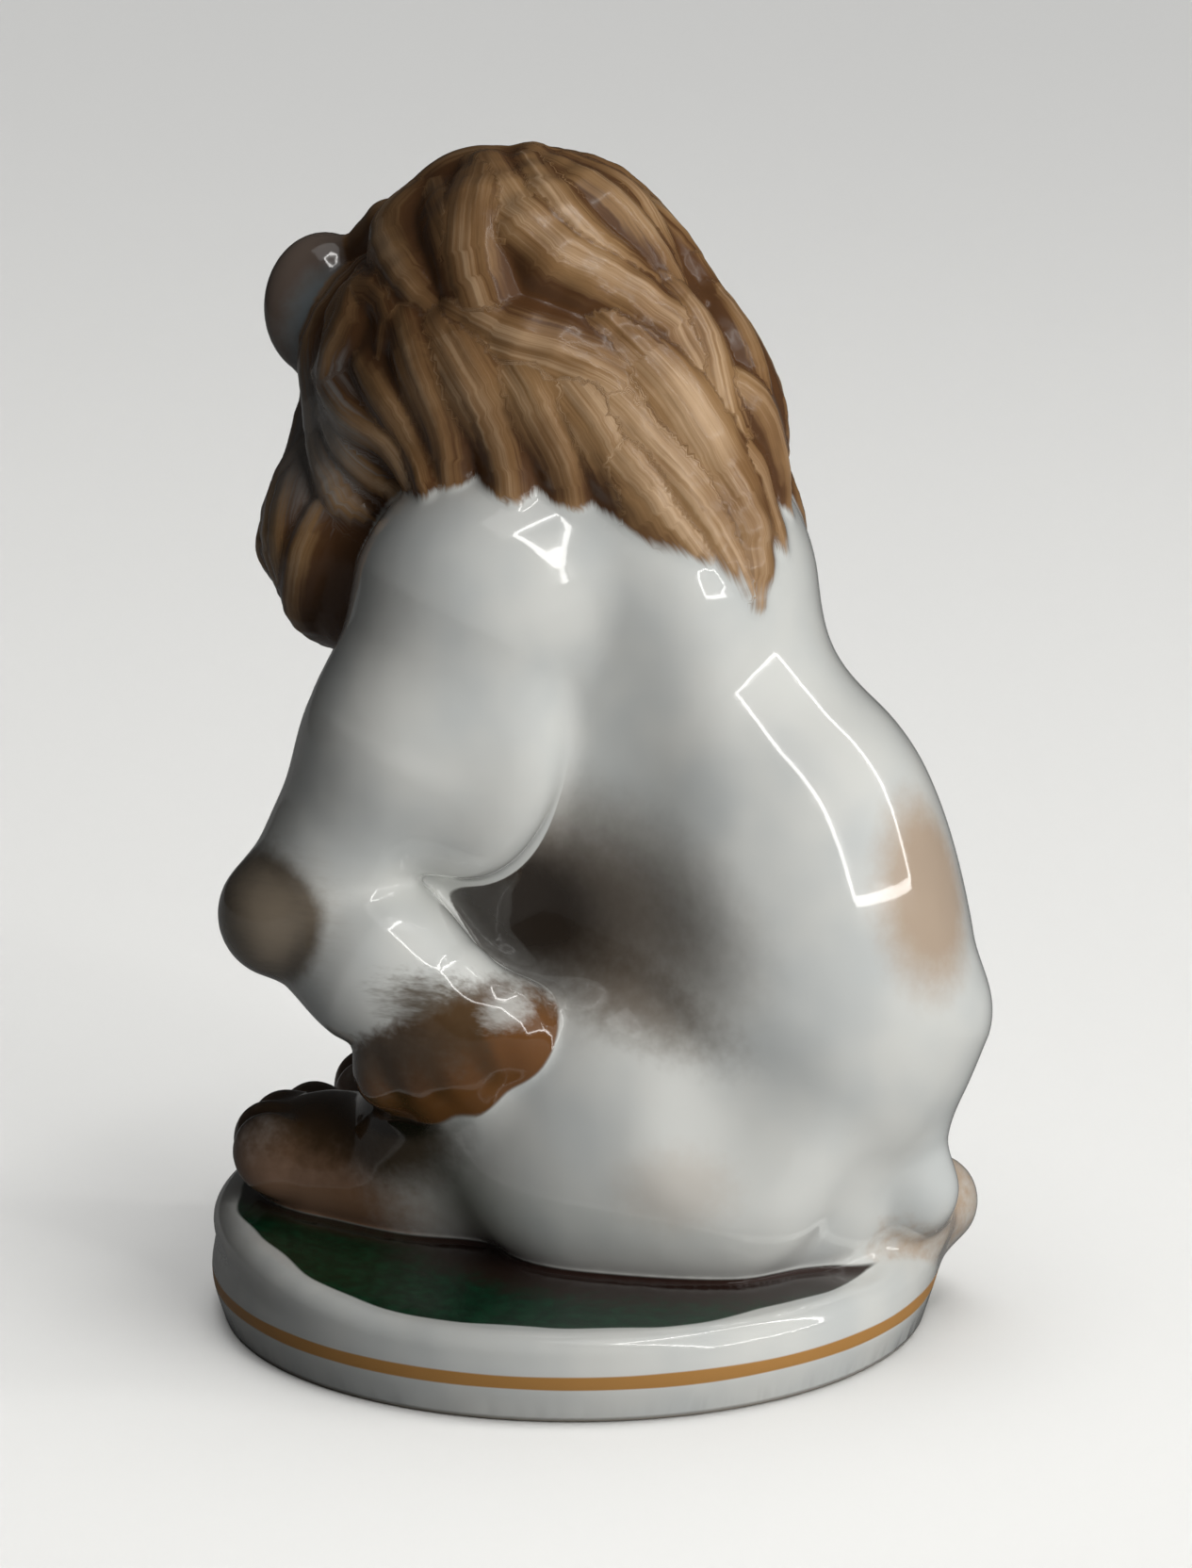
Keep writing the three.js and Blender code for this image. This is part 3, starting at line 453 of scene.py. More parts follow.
def coat_locks(rows):
    """Locks that follow paths over the coat and thin to a tip."""
    stops = [stop for path, _ in rows for stop in path]
    spots, outs = on_coat(stops)
    made = []
    first = 0
    for path, width in rows:
        spot = spots[first : first + len(path)]
        out = outs[first : first + len(path)]
        first += len(path)
        points, radii, ways = [], [], []
        for i in range(LOCK_PIECES + 1):
            t = i / LOCK_PIECES
            swell = min(1, 0.6 + 1.6 * t) * math.sqrt(max(1 - t**2.4, 0.04))
            radius = LOCK_ROUND * width * swell
            rise = LOCK_RISE * width * (1.15 * swell - 0.15)
            way = curve_point(out, t)
            way /= np.linalg.norm(way)
            points.append(curve_point(spot, t) + way * (rise - radius))
            radii.append(radius)
            ways.append(way)
        made.append(Lock(points, radii, ways))
    return made


def row_paths():
    """The paths of the rows of locks: every other one sits lower and sways the other way."""
    paths = []
    for row, (start, end, top, foot, sweep, count, width) in enumerate(LOCK_ROWS):
        for i in range(count):
            turn = start + (end - start) * i / (count - 1)
            bob = 2.5 if i % 2 else -2.5
            sway = 5 if (i + row) % 2 else -4
            path = []
            for k in range(4):
                across = turn + sweep * k / 3 + sway * math.sin(k * math.pi / 1.5)
                path.append([across, top + (foot - top) * k / 3 + (bob if k else 0)])
            paths.append((path, width))
    return paths


def face_locks():
    """The forelocks and the ruff, as limbs of even pieces on the head."""
    paths = list(FORELOCKS)
    for places, width in RUFF:
        paths += [([[left * s, forward, up] for left, forward, up in places], width) for s in (1, -1)]
    made = []
    for places, width in paths:
        stops = [on_head(p) for p in places]
        shares = [i / FACE_LOCK_PIECES for i in range(FACE_LOCK_PIECES + 1)]
        points = [curve_point(stops, t) for t in shares]
        radii = [FACE_LOCK_ROUND * width * math.sqrt(1.06 - t * t) for t in shares]
        ways = [(p - SKULL) / np.linalg.norm(p - SKULL) for p in points]
        made.append(Lock(points, radii, ways))
    return made


def smooth_share(value, low, high):
    t = np.clip((value - low) / (high - low), 0, 1)
    return t * t * (3 - 2 * t)


def ground_height(p):
    """How far the ground is above the base's rim: it swells to the middle and climbs to the front."""
    r = np.hypot(p[:, 0], p[:, 1]) / BASE_RADIUS
    climb = smooth_share(-p[:, 1], CLIMB_START, CLIMB_END)
    return FRONT_RISE * climb + GROUND_SWELL * np.maximum(1 - r * r, 0)


def corner(a, b, radius):
    """The inside of two faces whose edge is rounded."""
    h = np.maximum(radius - np.abs(a - b), 0) / radius
    return np.maximum(a, b) + h * h * radius / 4


def base_field(p):
    """How far points are outside the base: a foot that widens, an upright wall and a rounded shoulder."""
    r = np.hypot(p[:, 0], p[:, 1])
    lift = ground_height(p)
    z = p[:, 2].copy()
    for _ in range(4):
        z = p[:, 2] - lift * smooth_share(z, WIDEST_AT, RIM_HEIGHT - SHOULDER_ROUND)

    def face(r0, z0, r1, z1):
        long = math.hypot(r1 - r0, z1 - z0)
        return ((r - r0) * (z1 - z0) - (z - z0) * (r1 - r0)) / long

    foot = face(FOOT_RADIUS, 0, BASE_RADIUS, WIDEST_AT)
    wall = face(BASE_RADIUS, WIDEST_AT, SHOULDER_SIDE, RIM_HEIGHT - SHOULDER_ROUND)
    side = corner(foot, wall, WALL_ROUND)
    top = z - RIM_HEIGHT
    a = np.maximum(side + SHOULDER_ROUND, 0)
    b = np.maximum(top + SHOULDER_ROUND, 0)
    rounded = np.hypot(a, b) - SHOULDER_ROUND
    return np.where((a > 0) & (b > 0), rounded, np.maximum(side, top))


def foot_field(p):
    """How far points are below the foot, with a shallow hollow inside the foot ring."""
    r = np.hypot(p[:, 0], p[:, 1])
    return FOOT_HOLLOW * smooth_share(r, FOOT_RING, HOLLOW_RADIUS) - p[:, 2]


# ---- The fine mesh ----

GRID_LOW = np.array([-54.0, -57.0, -3.0])
GRID_HIGH = np.array([54.0, 63.0, 164.0])
GRID_BLOCK = 16
# How far from a lock its hair still sets the strands, and the mane's usual distance from its axis
HAIR_REACH = 7.0
MANE_RADIUS = 26
STRAND_WIDE = 4.1
STRAND_NARROW = 2.3
CORNERS = np.array([[c & 1, (c >> 1) & 1, c >> 2] for c in range(8)])


def hangs_together(mask):
    """Whether the corners of a cell that are in a mask hang together along its edges."""
    reached = mask & -mask
    for _ in range(4):
        for c in range(8):
            if reached & (1 << c):
                for bit in (1, 2, 4):
                    reached |= mask & (1 << (c ^ bit))
    return reached == mask


WHOLE_CELL = np.array([hangs_together(m) and hangs_together(255 & ~m) for m in range(256)])


class Lion:
    """The whole field of the lion on its base, and the skin and paint marks that are worked out from it."""

    def __init__(self, strand_depth):
        self.locks = coat_locks(row_paths() + NEAR_LOCKS) + face_locks()
        mane = MASS + [s for lock in self.locks for s in lock.shapes]
        self.parts = (BODY, mane, head() + face_detail())
        self.strand_depth = strand_depth

    def apart(self, p, parts=None, everywhere=False):
        """How far points are outside the body, the mane and the head, each by itself."""
        return [outside(shapes, p, everywhere) for shapes in parts or self.parts]

    def field(self, p, parts=None, everywhere=False):
        hide, hair, face = self.apart(p, parts, everywhere)
        lion = blend(blend(hide, hair, HEAD_MELT), face, HEAD_MELT)
        whole = blend(lion, base_field(p), GROUND_MELT)
        return corner(whole, foot_field(p), FOOT_ROUND)

    def in_mane(self, hide, hair, face):
        """How deep points that are on the mane or close to it are inside it."""
        return np.where(hair < 3, np.minimum(hide, face) - hair, -5)

    def skin(self, step):
        """The closed surface where the field is nought, one point to each cell of the grid that it crosses."""
        low, block = GRID_LOW, GRID_BLOCK
        n = (np.ceil((GRID_HIGH - low) / step / block).astype(int)) * block + 1
        value = np.full(n, FAR, np.float32)
        half = step * block / 2
        counts = [range(0, k - 1, block) for k in n]
        starts = np.array([[i, j, k] for i in counts[0] for j in counts[1] for k in counts[2]])
        middles = low + (starts + block / 2) * step
        rough = self.field(middles, everywhere=True)
        for start, d in zip(starts, rough):
            stop = np.minimum(start + block + 1, n)
            region = tuple(slice(a, b) for a, b in zip(start, stop))
            if abs(d) > half * 1.75 + 5:
                value[region] = d
                continue
            box_low = low + start * step
            box_high = low + (stop - 1) * step
            near = [[s for s in shapes if s.touches(box_low, box_high)] for shapes in self.parts]
            axes = [low[a] + np.arange(start[a], stop[a]) * step for a in range(3)]
            p = np.stack(np.meshgrid(*axes, indexing="ij"), -1).reshape(-1, 3)
            value[region] = self.field(p, near, everywhere=True).reshape(stop - start)
        return self.nets(value, low, step)

    def nets(self, value, low, step):
        """The points and quads of the surface. Corners that would tear it are first moved inside it."""
        while True:
            inside = value < 0
            count = np.zeros(np.array(value.shape) - 1, np.int8)
            for a, b, c in CORNERS:
                count += inside[a : a + count.shape[0], b : b + count.shape[1], c : c + count.shape[2]]
            cells = np.argwhere((count > 0) & (count < 8))
            at = cells[:, None, :] + CORNERS
            v = value[at[..., 0], at[..., 1], at[..., 2]]
            mask = ((v < 0) << np.arange(8)).sum(1)
            torn = ~WHOLE_CELL[mask]
            if not torn.any():
                break
            nearest = np.where(v[torn] < 0, np.inf, v[torn]).argmin(1)
            spots = at[torn, nearest]
            value[tuple(spots.T)] = -1e-3
        number = np.full(count.shape, -1, np.int32)
        number[tuple(cells.T)] = np.arange(len(cells))
        total = np.zeros((len(cells), 3))
        crossings = np.zeros(len(cells))
        for a in range(8):
            for bit in (1, 2, 4):
                if a & bit:
                    continue
                b = a | bit
                cut = (v[:, a] < 0) != (v[:, b] < 0)
                t = v[cut, a] / (v[cut, a] - v[cut, b])
                total[cut] += CORNERS[a] + t[:, None] * (CORNERS[b] - CORNERS[a])
                crossings[cut] += 1
        points = low + step * (cells + total / crossings[:, None])
        quads = []
        for axis in range(3):
            e = np.eye(3, dtype=int)
            shape = np.array(value.shape)
            near = tuple(slice(1, s - 1) for s in shape)
            far = tuple(slice(1 + e[axis][k], shape[k] - 1 + e[axis][k]) for k in range(3))
            here = value[near] < 0
            ats = np.argwhere(here != (value[far] < 0)) + 1
            u, w = e[(axis + 1) % 3], e[(axis + 2) % 3]
            meeting = (ats, ats - u, ats - u - w, ats - w)
            ring = np.stack([number[tuple(cell.T)] for cell in meeting], 1)
            back = ~here[tuple((ats - 1).T)]
            ring[back] = ring[back][:, ::-1]
            quads.append(ring)
        return points, np.concatenate(quads)

    def nearest_hair(self, p):
        """For points on the mane: across and along the nearest lock, its number, share and how near its edge."""
        best = np.full(len(p), HAIR_REACH)
        number = np.zeros(len(p))
        share = np.zeros(len(p))
        edge = np.ones(len(p))
        # Where no lock lies, the hair falls straight down from the mane's axis.
        flat = p[:, :2] - MANE_AXIS
        across = np.arctan2(flat[:, 1], flat[:, 0]) * MANE_RADIUS
        along = -p[:, 2]
        for which, lock in enumerate(self.locks):
            low = lock.points.min(0) - lock.radii.max() - HAIR_REACH
            high = lock.points.max(0) + lock.radii.max() + HAIR_REACH
            near = np.nonzero(np.all((p > low) & (p < high), axis=1))[0]
            if not len(near):
                continue
            for k, limb in enumerate(lock.shapes):
                q = p[near]
                d = limb.at(q)
                closer = d < best[near]
                hit = near[closer]
                if not len(hit):
                    continue
                t = limb.share(p[hit])
                middle = limb.start + t[:, None] * limb.run
                way = lock.ways[k] * (1 - t[:, None]) + lock.ways[k + 1] * t[:, None]
                side = np.cross(limb.run / math.sqrt(limb.long), way)
                side /= np.linalg.norm(side, axis=1, keepdims=True) + 1e-9
                offset = np.einsum("ij,ij->i", p[hit] - middle, side)
                best[hit] = d[closer]
                across[hit] = offset
                along[hit] = lock.steps[k] + t * math.sqrt(limb.long)
                number[hit] = which + 1
                share[hit] = along[hit] / lock.steps[-1]
                edge[hit] = np.clip(np.abs(offset) / (limb.radius + t * limb.grow + 1e-6), 0, 1)
        return across, along, number, share, edge

    def groove(self, p, in_mane):
        """How deep the strands are cut: a few uneven furrows along each lock that run out at its edges and tip."""
        across, along, number, share, edge = self.nearest_hair(p)
        # An angle for each lock that looks random but is always the same
        turn = np.sin(number * 12.9898) * 43758.5453
        seed = (turn - np.floor(turn)) * 2 * math.pi
        bend = 0.9 * np.sin(along * 0.16 + seed)
        wide = np.sin((across + bend) * 2 * math.pi / STRAND_WIDE + seed)
        narrow = np.sin((across - bend) * 2 * math.pi / STRAND_NARROW + 2.3 * seed)
        furrow = 0.62 * np.maximum(-wide, -0.35) + 0.38 * np.maximum(-narrow, -0.4)
        fade = (1 - 0.5 * edge**4) * smooth_share(share, 1.0, 0.8) * smooth_share(in_mane, 0.0, 1.5)
        fade = np.where(number > 0, fade, 0.5 * fade)
        return self.strand_depth * furrow * fade


def vertex_normals(points, triangles):
    corners = points[triangles]
    face = np.cross(corners[:, 1] - corners[:, 0], corners[:, 2] - corners[:, 0])
    normals = np.zeros_like(points)
    for axis in range(3):
        for c in range(3):
            normals[:, axis] += np.bincount(triangles[:, c], weights=face[:, axis], minlength=len(points))
    return normals / (np.linalg.norm(normals, axis=1, keepdims=True) + 1e-12)


def triangles_of(points, quads):
    """Each quad cut along its shorter diagonal."""
    c = points[quads]
    short = np.linalg.norm(c[:, 0] - c[:, 2], axis=1) <= np.linalg.norm(c[:, 1] - c[:, 3], axis=1)
    first = np.where(short[:, None], quads[:, [0, 1, 2]], quads[:, [0, 1, 3]])
    second = np.where(short[:, None], quads[:, [0, 2, 3]], quads[:, [1, 2, 3]])
    return np.concatenate([first, second])


def mesh_from(name, points_mm, triangles):
    mesh = bpy.data.meshes.new(name)
    mesh.vertices.add(len(points_mm))
    mesh.vertices.foreach_set("co", (points_mm / 1000).astype(np.float32).ravel())
    mesh.loops.add(len(triangles) * 3)
    mesh.loops.foreach_set("vertex_index", triangles.astype(np.int32).ravel())
    mesh.polygons.add(len(triangles))
    mesh.polygons.foreach_set("loop_start", np.arange(0, len(triangles) * 3, 3, dtype=np.int32))
    mesh.update(calc_edges=True)
    mesh.validate()
    return mesh


def thinned(mesh, wanted):
    """The mesh thinned to a number of triangles where the surface is flattest."""
    if len(mesh.polygons) <= wanted:
        return mesh
    holder = bpy.data.objects.new("thinning", mesh)
    bpy.context.scene.collection.objects.link(holder)
    modifier = holder.modifiers.new("Thin", "DECIMATE")
    modifier.ratio = wanted / len(mesh.polygons)
    graph = bpy.context.evaluated_depsgraph_get()
    made = bpy.data.meshes.new_from_object(holder.evaluated_get(graph))
    bpy.data.objects.remove(holder)
    bpy.data.meshes.remove(mesh)
    return made


def mesh_points(mesh):
    """The mesh's points in millimetres."""
    points = np.empty(len(mesh.vertices) * 3, np.float32)
    mesh.vertices.foreach_get("co", points)
    return points.reshape(-1, 3).astype(float) * 1000


def build_lion(sizes):
    """The lion and its base as one closed mesh, with the marks that its paint follows."""
    lion = Lion(sizes.strand_depth * 1000)
    step = 1 * sizes.grid_step * 1000
    points, quads = lion.skin(step)
    triangles = triangles_of(points, quads)
    for _ in range(2):
        normals = vertex_normals(points, triangles)
        d = lion.field(points)
        points = points - np.clip(d, -0.4 * step, 0.4 * step)[:, None] * normals
    normals = vertex_normals(points, triangles)
    in_mane = lion.in_mane(*lion.apart(points))
    points = points - lion.groove(points, in_mane)[:, None] * normals
    mesh = thinned(mesh_from("lion_figurine", points, triangles), sizes.triangles)
    points = mesh_points(mesh)
    hide, hair, face = lion.apart(points)
    figure = np.minimum(np.minimum(hide, hair), face)
    across, along, number, _, edge = lion.nearest_hair(points)
    # The pair of shapes between the arm and the chest is painted with the chest.
    arm = outside(arms()[:8] + arms()[10:], points, True)
    rest = np.minimum(outside(torso(), points, True), outside(feet(), points, True))
    marks = {
        "in_mane": lion.in_mane(hide, hair, face),
        "in_ground": figure - base_field(points),
        "from_lion": outside(BODY, points, True),
        "on_arm": arm - rest,
        "hair_across": across,
        "hair_along": along,
        "hair_number": number,
        "hair_edge": edge,
        "hair_rise": outside(MASS, points),
    }
    for name, values in marks.items():
        attribute = mesh.attributes.new(name, "FLOAT", "POINT")
        attribute.data.foreach_set("value", np.clip(values, -200, 200).astype(np.float32))
    mesh.polygons.foreach_set("use_smooth", np.ones(len(mesh.polygons), bool))
    mesh.update()
    return mesh


# ---- Materials ----


class Nodes:
    """Adds nodes to a tree and joins them. An input takes another node's socket or a plain value."""

    def __init__(self, tree):
        self.tree = tree
        self.count = 0

    def add(self, kind, inputs=None, **settings):
        node = self.tree.nodes.new(kind)
        node.location = (220 * (self.count % 24), -260 * (self.count // 24))
        self.count += 1
        for key, value in settings.items():
            setattr(node, key, value)
        for key, value in (inputs or {}).items():
            self.join(value, node.inputs[key])
        return node

    def join(self, value, socket):
        if isinstance(value, bpy.types.NodeSocket):
            self.tree.links.new(value, socket)
        else:
            socket.default_value = value

    def maths(self, operation, a, b=0.0, c=0.0):
        return self.add("ShaderNodeMath", {0: a, 1: b, 2: c}, operation=operation).outputs[0]

    def times(self, first, *others):
        for other in others:
            first = self.maths("MULTIPLY", first, other)
        return first

    def most(self, first, *others):
        for other in others:
            first = self.maths("MAXIMUM", first, other)
        return first

    def scaled(self, value, factor, plus):
        return self.maths("MULTIPLY_ADD", value, factor, plus)

    def vector(self, operation, a, b=(0, 0, 0)):
        second = 3 if operation == "SCALE" else 1
        node = self.add("ShaderNodeVectorMath", {0: a, second: b}, operation=operation)
        return node.outputs["Value" if operation == "LENGTH" else 0]

    def ease(self, value, low, high, to_low=0.0, to_high=1.0):
        node = self.add(
            "ShaderNodeMapRange",
            {"Value": value, "From Min": low, "From Max": high, "To Min": to_low, "To Max": to_high},
            interpolation_type="SMOOTHSTEP",
        )
        return node.outputs["Result"]

    def noise(self, vector, scale, detail=2.0, roughness=0.5):
        inputs = {"Vector": vector, "Scale": scale, "Detail": detail, "Roughness": roughness}
        return self.add("ShaderNodeTexNoise", inputs).outputs["Fac"]

    def mix(self, share, a, b):
        node = self.add("ShaderNodeMix", data_type="RGBA")
        self.join(share, node.inputs[0])
        self.join(a, node.inputs[6])
        self.join(b, node.inputs[7])
        return node.outputs[2]

    def blend(self, share, a, b):
        node = self.add("ShaderNodeMix", data_type="FLOAT")
        self.join(share, node.inputs[0])
        self.join(a, node.inputs[2])
        self.join(b, node.inputs[3])
        return node.outputs[0]

    def attribute(self, name):
        return self.add("ShaderNodeAttribute", attribute_name=name).outputs["Fac"]

    def combine(self, x, y, z):
        return self.add("ShaderNodeCombineXYZ", {"X": x, "Y": y, "Z": z}).outputs[0]

    def separate(self, vector):
        return tuple(self.add("ShaderNodeSeparateXYZ", {"Vector": vector}).outputs)

    def turned_back(self, vector, turn):
        inputs = {"Vector": vector, "Rotation": turn}
        return self.add("ShaderNodeVectorRotate", inputs, rotation_type="EULER_XYZ", invert=True).outputs[0]


def new_material(name):
    """A material without nodes, and the means to add them."""
    material = bpy.data.materials.new(name)
    material.use_nodes = True
    material.node_tree.nodes.clear()
    return material, Nodes(material.node_tree)


def paint_dab_group():
    """A soft-edged dab of paint: an egg-shaped reach whose edge is broken up by a pattern of strokes."""
    tree = bpy.data.node_groups.new("Paint dab", "ShaderNodeTree")
    for name, kind, default in (
        ("Position", "NodeSocketVector", (0, 0, 0)),
        ("Centre", "NodeSocketVector", (0, 0, 0)),
        ("Reach", "NodeSocketVector", (1, 1, 1)),
        ("Turn", "NodeSocketVector", (0, 0, 0)),
        ("Softness", "NodeSocketFloat", 0.3),
        ("Strokes", "NodeSocketFloat", 0.5),
        ("Raggedness", "NodeSocketFloat", 0.2),
    ):
        socket = tree.interface.new_socket(name, in_out="INPUT", socket_type=kind)
        socket.default_value = default
    tree.interface.new_socket("Mask", in_out="OUTPUT", socket_type="NodeSocketFloat")
    n = Nodes(tree)
    given = n.add("NodeGroupInput").outputs
    moved = n.vector("SUBTRACT", given["Position"], given["Centre"])
    away = n.vector("LENGTH", n.vector("DIVIDE", n.turned_back(moved, given["Turn"]), given["Reach"]))
    broken = n.times(n.maths("SUBTRACT", given["Strokes"], 0.5), given["Raggedness"])
    low = n.maths("SUBTRACT", 1.0, given["Softness"])
    high = n.maths("ADD", 1.0, given["Softness"])
    n.add("NodeGroupOutput", {"Mask": n.ease(n.scaled(broken, 2.0, away), high, low)})
    return tree


HEAD_EULER = tuple(Matrix(HEAD_AXES.tolist()).to_euler("XYZ"))
LEVEL = (0, 0, 0)
FOREPAW_TURN = (20, 0, 11)
RIGHT_FOOT_BACK = 3.0

GLAZE_ROUGHNESS = 0.12
HAIR_ROUGHNESS = 0.16
GOLD_ROUGHNESS = 0.36
BARE_ROUGHNESS = 0.8
GOLD_METAL = 0.35
GREEN_DULLED = 0.8
FEET_DULLED = 0.6
COAT_ON_MANE = 0.1
FLOOR_DARKENED = 0.9
STRAND_RELIEF = 0.06
GLAZE_RIPPLE = 0.14


class Painter:
    """Lays paints over one another on the glaze.

    A dab's place is in millimetres from the middle of the base, or on the head from the skull's middle.
    """

    def __init__(self, nodes, position, colour):
        self.nodes = n = nodes
        self.colour = colour
        self.group = paint_dab_group()
        self.position = position
        self.both_sides = self.mirrored(position)
        self.head = n.turned_back(n.vector("SUBTRACT", position, tuple(SKULL)), HEAD_EULER)
        self.face = self.mirrored(self.head)
        self.mottle = n.noise(position, 0.55, 2.0, 0.6)
        self.brush = n.noise(n.vector("MULTIPLY", position, (1.3, 0.22, 1.3)), 1.0, 2.0, 0.65)

    def mirrored(self, position, right_side_back=0.0):
        """A position brought over to the left side. The right side can stand a little further back."""
        n = self.nodes
        x, y, z = n.separate(position)
        if right_side_back:
            y = n.scaled(n.maths("LESS_THAN", x, 0.0), -right_side_back, y)
        return n.combine(n.maths("ABSOLUTE", x), y, z)

    def dab(self, centre, reach, turn=LEVEL, soft=0.3, ragged=0.15, strokes=None, where=None):
        """How much of a dab there is: its turn is in degrees, and strokes break up its edge."""
        inputs = {
            "Position": self.position if where is None else where,
            "Centre": tuple(float(v) for v in centre),
            "Reach": tuple(float(v) for v in reach),
            "Turn": tuple(math.radians(a) for a in turn),
            "Softness": soft,
            "Strokes": self.mottle if strokes is None else strokes,
            "Raggedness": ragged,
        }
        return self.nodes.add("ShaderNodeGroup", inputs, node_tree=self.group).outputs["Mask"]

    def lay(self, mask, paint, strength=1.0, only=None):
        if only is not None:
            mask = self.nodes.times(mask, only)
        share = mask if strength == 1.0 else self.nodes.times(mask, strength)
        self.colour = self.nodes.mix(share, self.colour, paint)

    def pair(self, centre, reach, turn, paint, strength, soft=0.3, ragged=0.15, strokes=None, only=None):
        """A dab on both sides of the body."""
        self.lay(self.dab(centre, reach, turn, soft, ragged, strokes, self.both_sides), paint, strength, only)

    def on_face(self, place, reach, paint, strength, soft, ragged, both=True):
        """A dab on the head at a place to its left, forwards and upwards, or on both sides of it."""
        left, forward, up = place
        where = self.face if both else self.head
        self.lay(self.dab((left, -forward, up), reach, LEVEL, soft, ragged, None, where), paint, strength)


def colour4(value):
    return (value[0], value[1], value[2], 1.0)


def hair_colours(n, c, wash):
    """The mane's browns: broad washes, strokes along each lock and lighter crests, partly painted highlight."""
    across = n.attribute("hair_across")
    along = n.attribute("hair_along")
    edge = n.attribute("hair_edge")
    offset = n.times(n.attribute("hair_number"), 3.7)
    sway = n.noise(n.combine(n.times(along, 0.07), offset, 0.0), 1.0, 1.0)
    bent = n.scaled(sway, 2.5, across)

    def strokes(fine, long, detail):
        place = n.combine(n.times(bent, fine), n.times(along, long), offset)
        return n.noise(place, 1.0, detail, 0.6)

    middle = strokes(0.42, 0.04, 1.0)
    fine = strokes(1.6, 0.05, 2.0)
    # Lighter where a lock is high and at its middle, darker at its edges: partly the mane's paint, partly painted
    # highlight and shade.
    crest = n.ease(edge, 1.0, 0.0)
    raised = n.ease(n.attribute("hair_rise"), 0.6, 3.0)
    tone = n.scaled(crest, 0.4, n.scaled(raised, 0.2, -0.14))
    tone = n.scaled(wash, 0.45, tone)
    flow = n.scaled(middle, 0.6, n.scaled(fine, 0.8, -0.7))
    tone = n.scaled(flow, n.ease(edge, 0.95, 0.4, 0.1, 1.0), tone)
    body = n.mix(n.ease(wash, 0.4, 0.65), c.mane, c.mane_ochre)
    colour = n.mix(n.ease(tone, 0.18, 0.52), c.mane_dark, body)
    colour = n.mix(n.ease(tone, 0.48, 0.98), colour, c.mane_light)
    strands = n.times(n.maths("SUBTRACT", fine, 0.5), n.ease(edge, 0.95, 0.5))
    return colour, middle, fine, strands


def paint_body(p, c, off_arm, only_arm):
    """Tan patches and painted shade in the coat's folds, then the elbows, wrists and forepaws."""
    p.lay(p.dab((6.5, 51, 63.5), (8, 9, 14.5), (-18, 0, 0), 0.4, 0.12), c.tan, 0.68)
    p.pair((29, 25, 27), (6, 7, 5), LEVEL, c.tan, 0.2, 0.6, 0.3)
    # Painted shade in the flank's folds, over the figurine's own airbrushed sepia, then a painted shadow in the
    # recess under the arm.
    p.pair((22, 9, 62), (10, 19, 12), (-20, 0, 0), c.sepia, 0.85, 0.65, 0.1, only=off_arm)
    p.pair((24, 14, 52.5), (6, 15, 4.2), (-26, 0, 0), c.sepia, 0.6, 0.7, 0.3, only=off_arm)
    p.pair((21, -0.5, 61), (11, 13.5, 9.5), (-20, 0, 0), c.deep, 0.97, 0.5, 0.05, only=off_arm)
    p.lay(p.dab((-12, 46, 15.5), (15, 7, 7), LEVEL, 0.45, 0.3), c.tan, 0.8)
    p.pair((33.5, -30.6, 59.8), (13, 9.2, 9.2), LEVEL, c.umber, 0.9, 0.16, 0.06)
    p.pair((34.5, -29.6, 60.5), (13, 7.2, 7.2), LEVEL, c.umber_light, 0.4, 0.8, 0.6, p.brush)
    p.pair((30.5, -2.5, 48.4), (10, 12.5, 4.6), (-20, 0, 8), c.umber, 0.9, 0.35, 0.4, p.brush, only_arm)
    for centre, reach, paint, strength, soft, ragged in (
        ((29.5, -5.5, 42.5), (12, 16, 9.8), c.paw_brown, 0.95, 0.12, 0.12),
        ((31, -4, 36.6), (12, 18, 7.6), c.ochre, 0.95, 0.45, 0.5),
        ((33, -9, 44), (9, 6, 4), c.olive, 0.6, 0.8, 0.7),
        ((31, 6.5, 43), (9, 5.5, 8), c.ochre, 0.9, 0.4, 0.3),
    ):
        p.pair(centre, reach, FOREPAW_TURN, paint, strength, soft, ragged, only=only_arm)
    for i in range(3):
        between_toes = (34.6 - i, -12 + 6 * i, 40.6 + (i - 0.2) ** 2)
        p.pair(between_toes, (3.6, 1.5, 3.6), FOREPAW_TURN, c.olive, 0.7, 0.7, 0.1, only=only_arm)
    # A painted highlight on each knuckle: the glaze's white in dry strokes over the paw's brown.
    p.pair((31, 1.8, 49.6), (3.0, 3.4, 2.2), FOREPAW_TURN, c.glaze, 0.7, 0.6, 0.5, p.brush, only_arm)


def paint_feet(p, c, off_arm):
    """The shins and hind feet, and painted shade under the forepaws. Gives back where their paint is."""
    both_feet = p.mirrored(p.position, RIGHT_FOOT_BACK)
    on_foot = 0.0
    for centre, reach, turn, paint, strength, soft, ragged in (
        # Painted shade on the knee below the forepaw.
        ((22, -13, 25), (12, 13, 10), LEVEL, c.sepia, 0.5, 0.8, 0.1),
        ((14, -31.5, 20), (16, 21, 13), LEVEL, c.ochre, 0.9, 0.25, 0.07),
        ((15, -26, 30), (13, 18, 8.5), (8, 0, 0), c.olive, 0.88, 0.4, 0.25),
        ((21, -15.5, 33), (14, 13.5, 10.5), LEVEL, c.olive, 0.92, 0.3, 0.08),
        # Painted shadow in the gap under the forepaw.
        ((26.5, -15.5, 35), (9.5, 9, 5.5), LEVEL, c.deep, 0.95, 0.2, 0.05),
        *(((x, -40, 23.5), (1.0, 5, 6), LEVEL, c.olive, 0.8, 0.6, 0.05) for x in (8.7, 14, 19.3)),
    ):
        mask = p.dab(centre, reach, turn, soft, ragged, None, both_feet)
        on_foot = p.nodes.most(mask, on_foot)
        p.lay(mask, paint, strength, off_arm)
    return on_foot


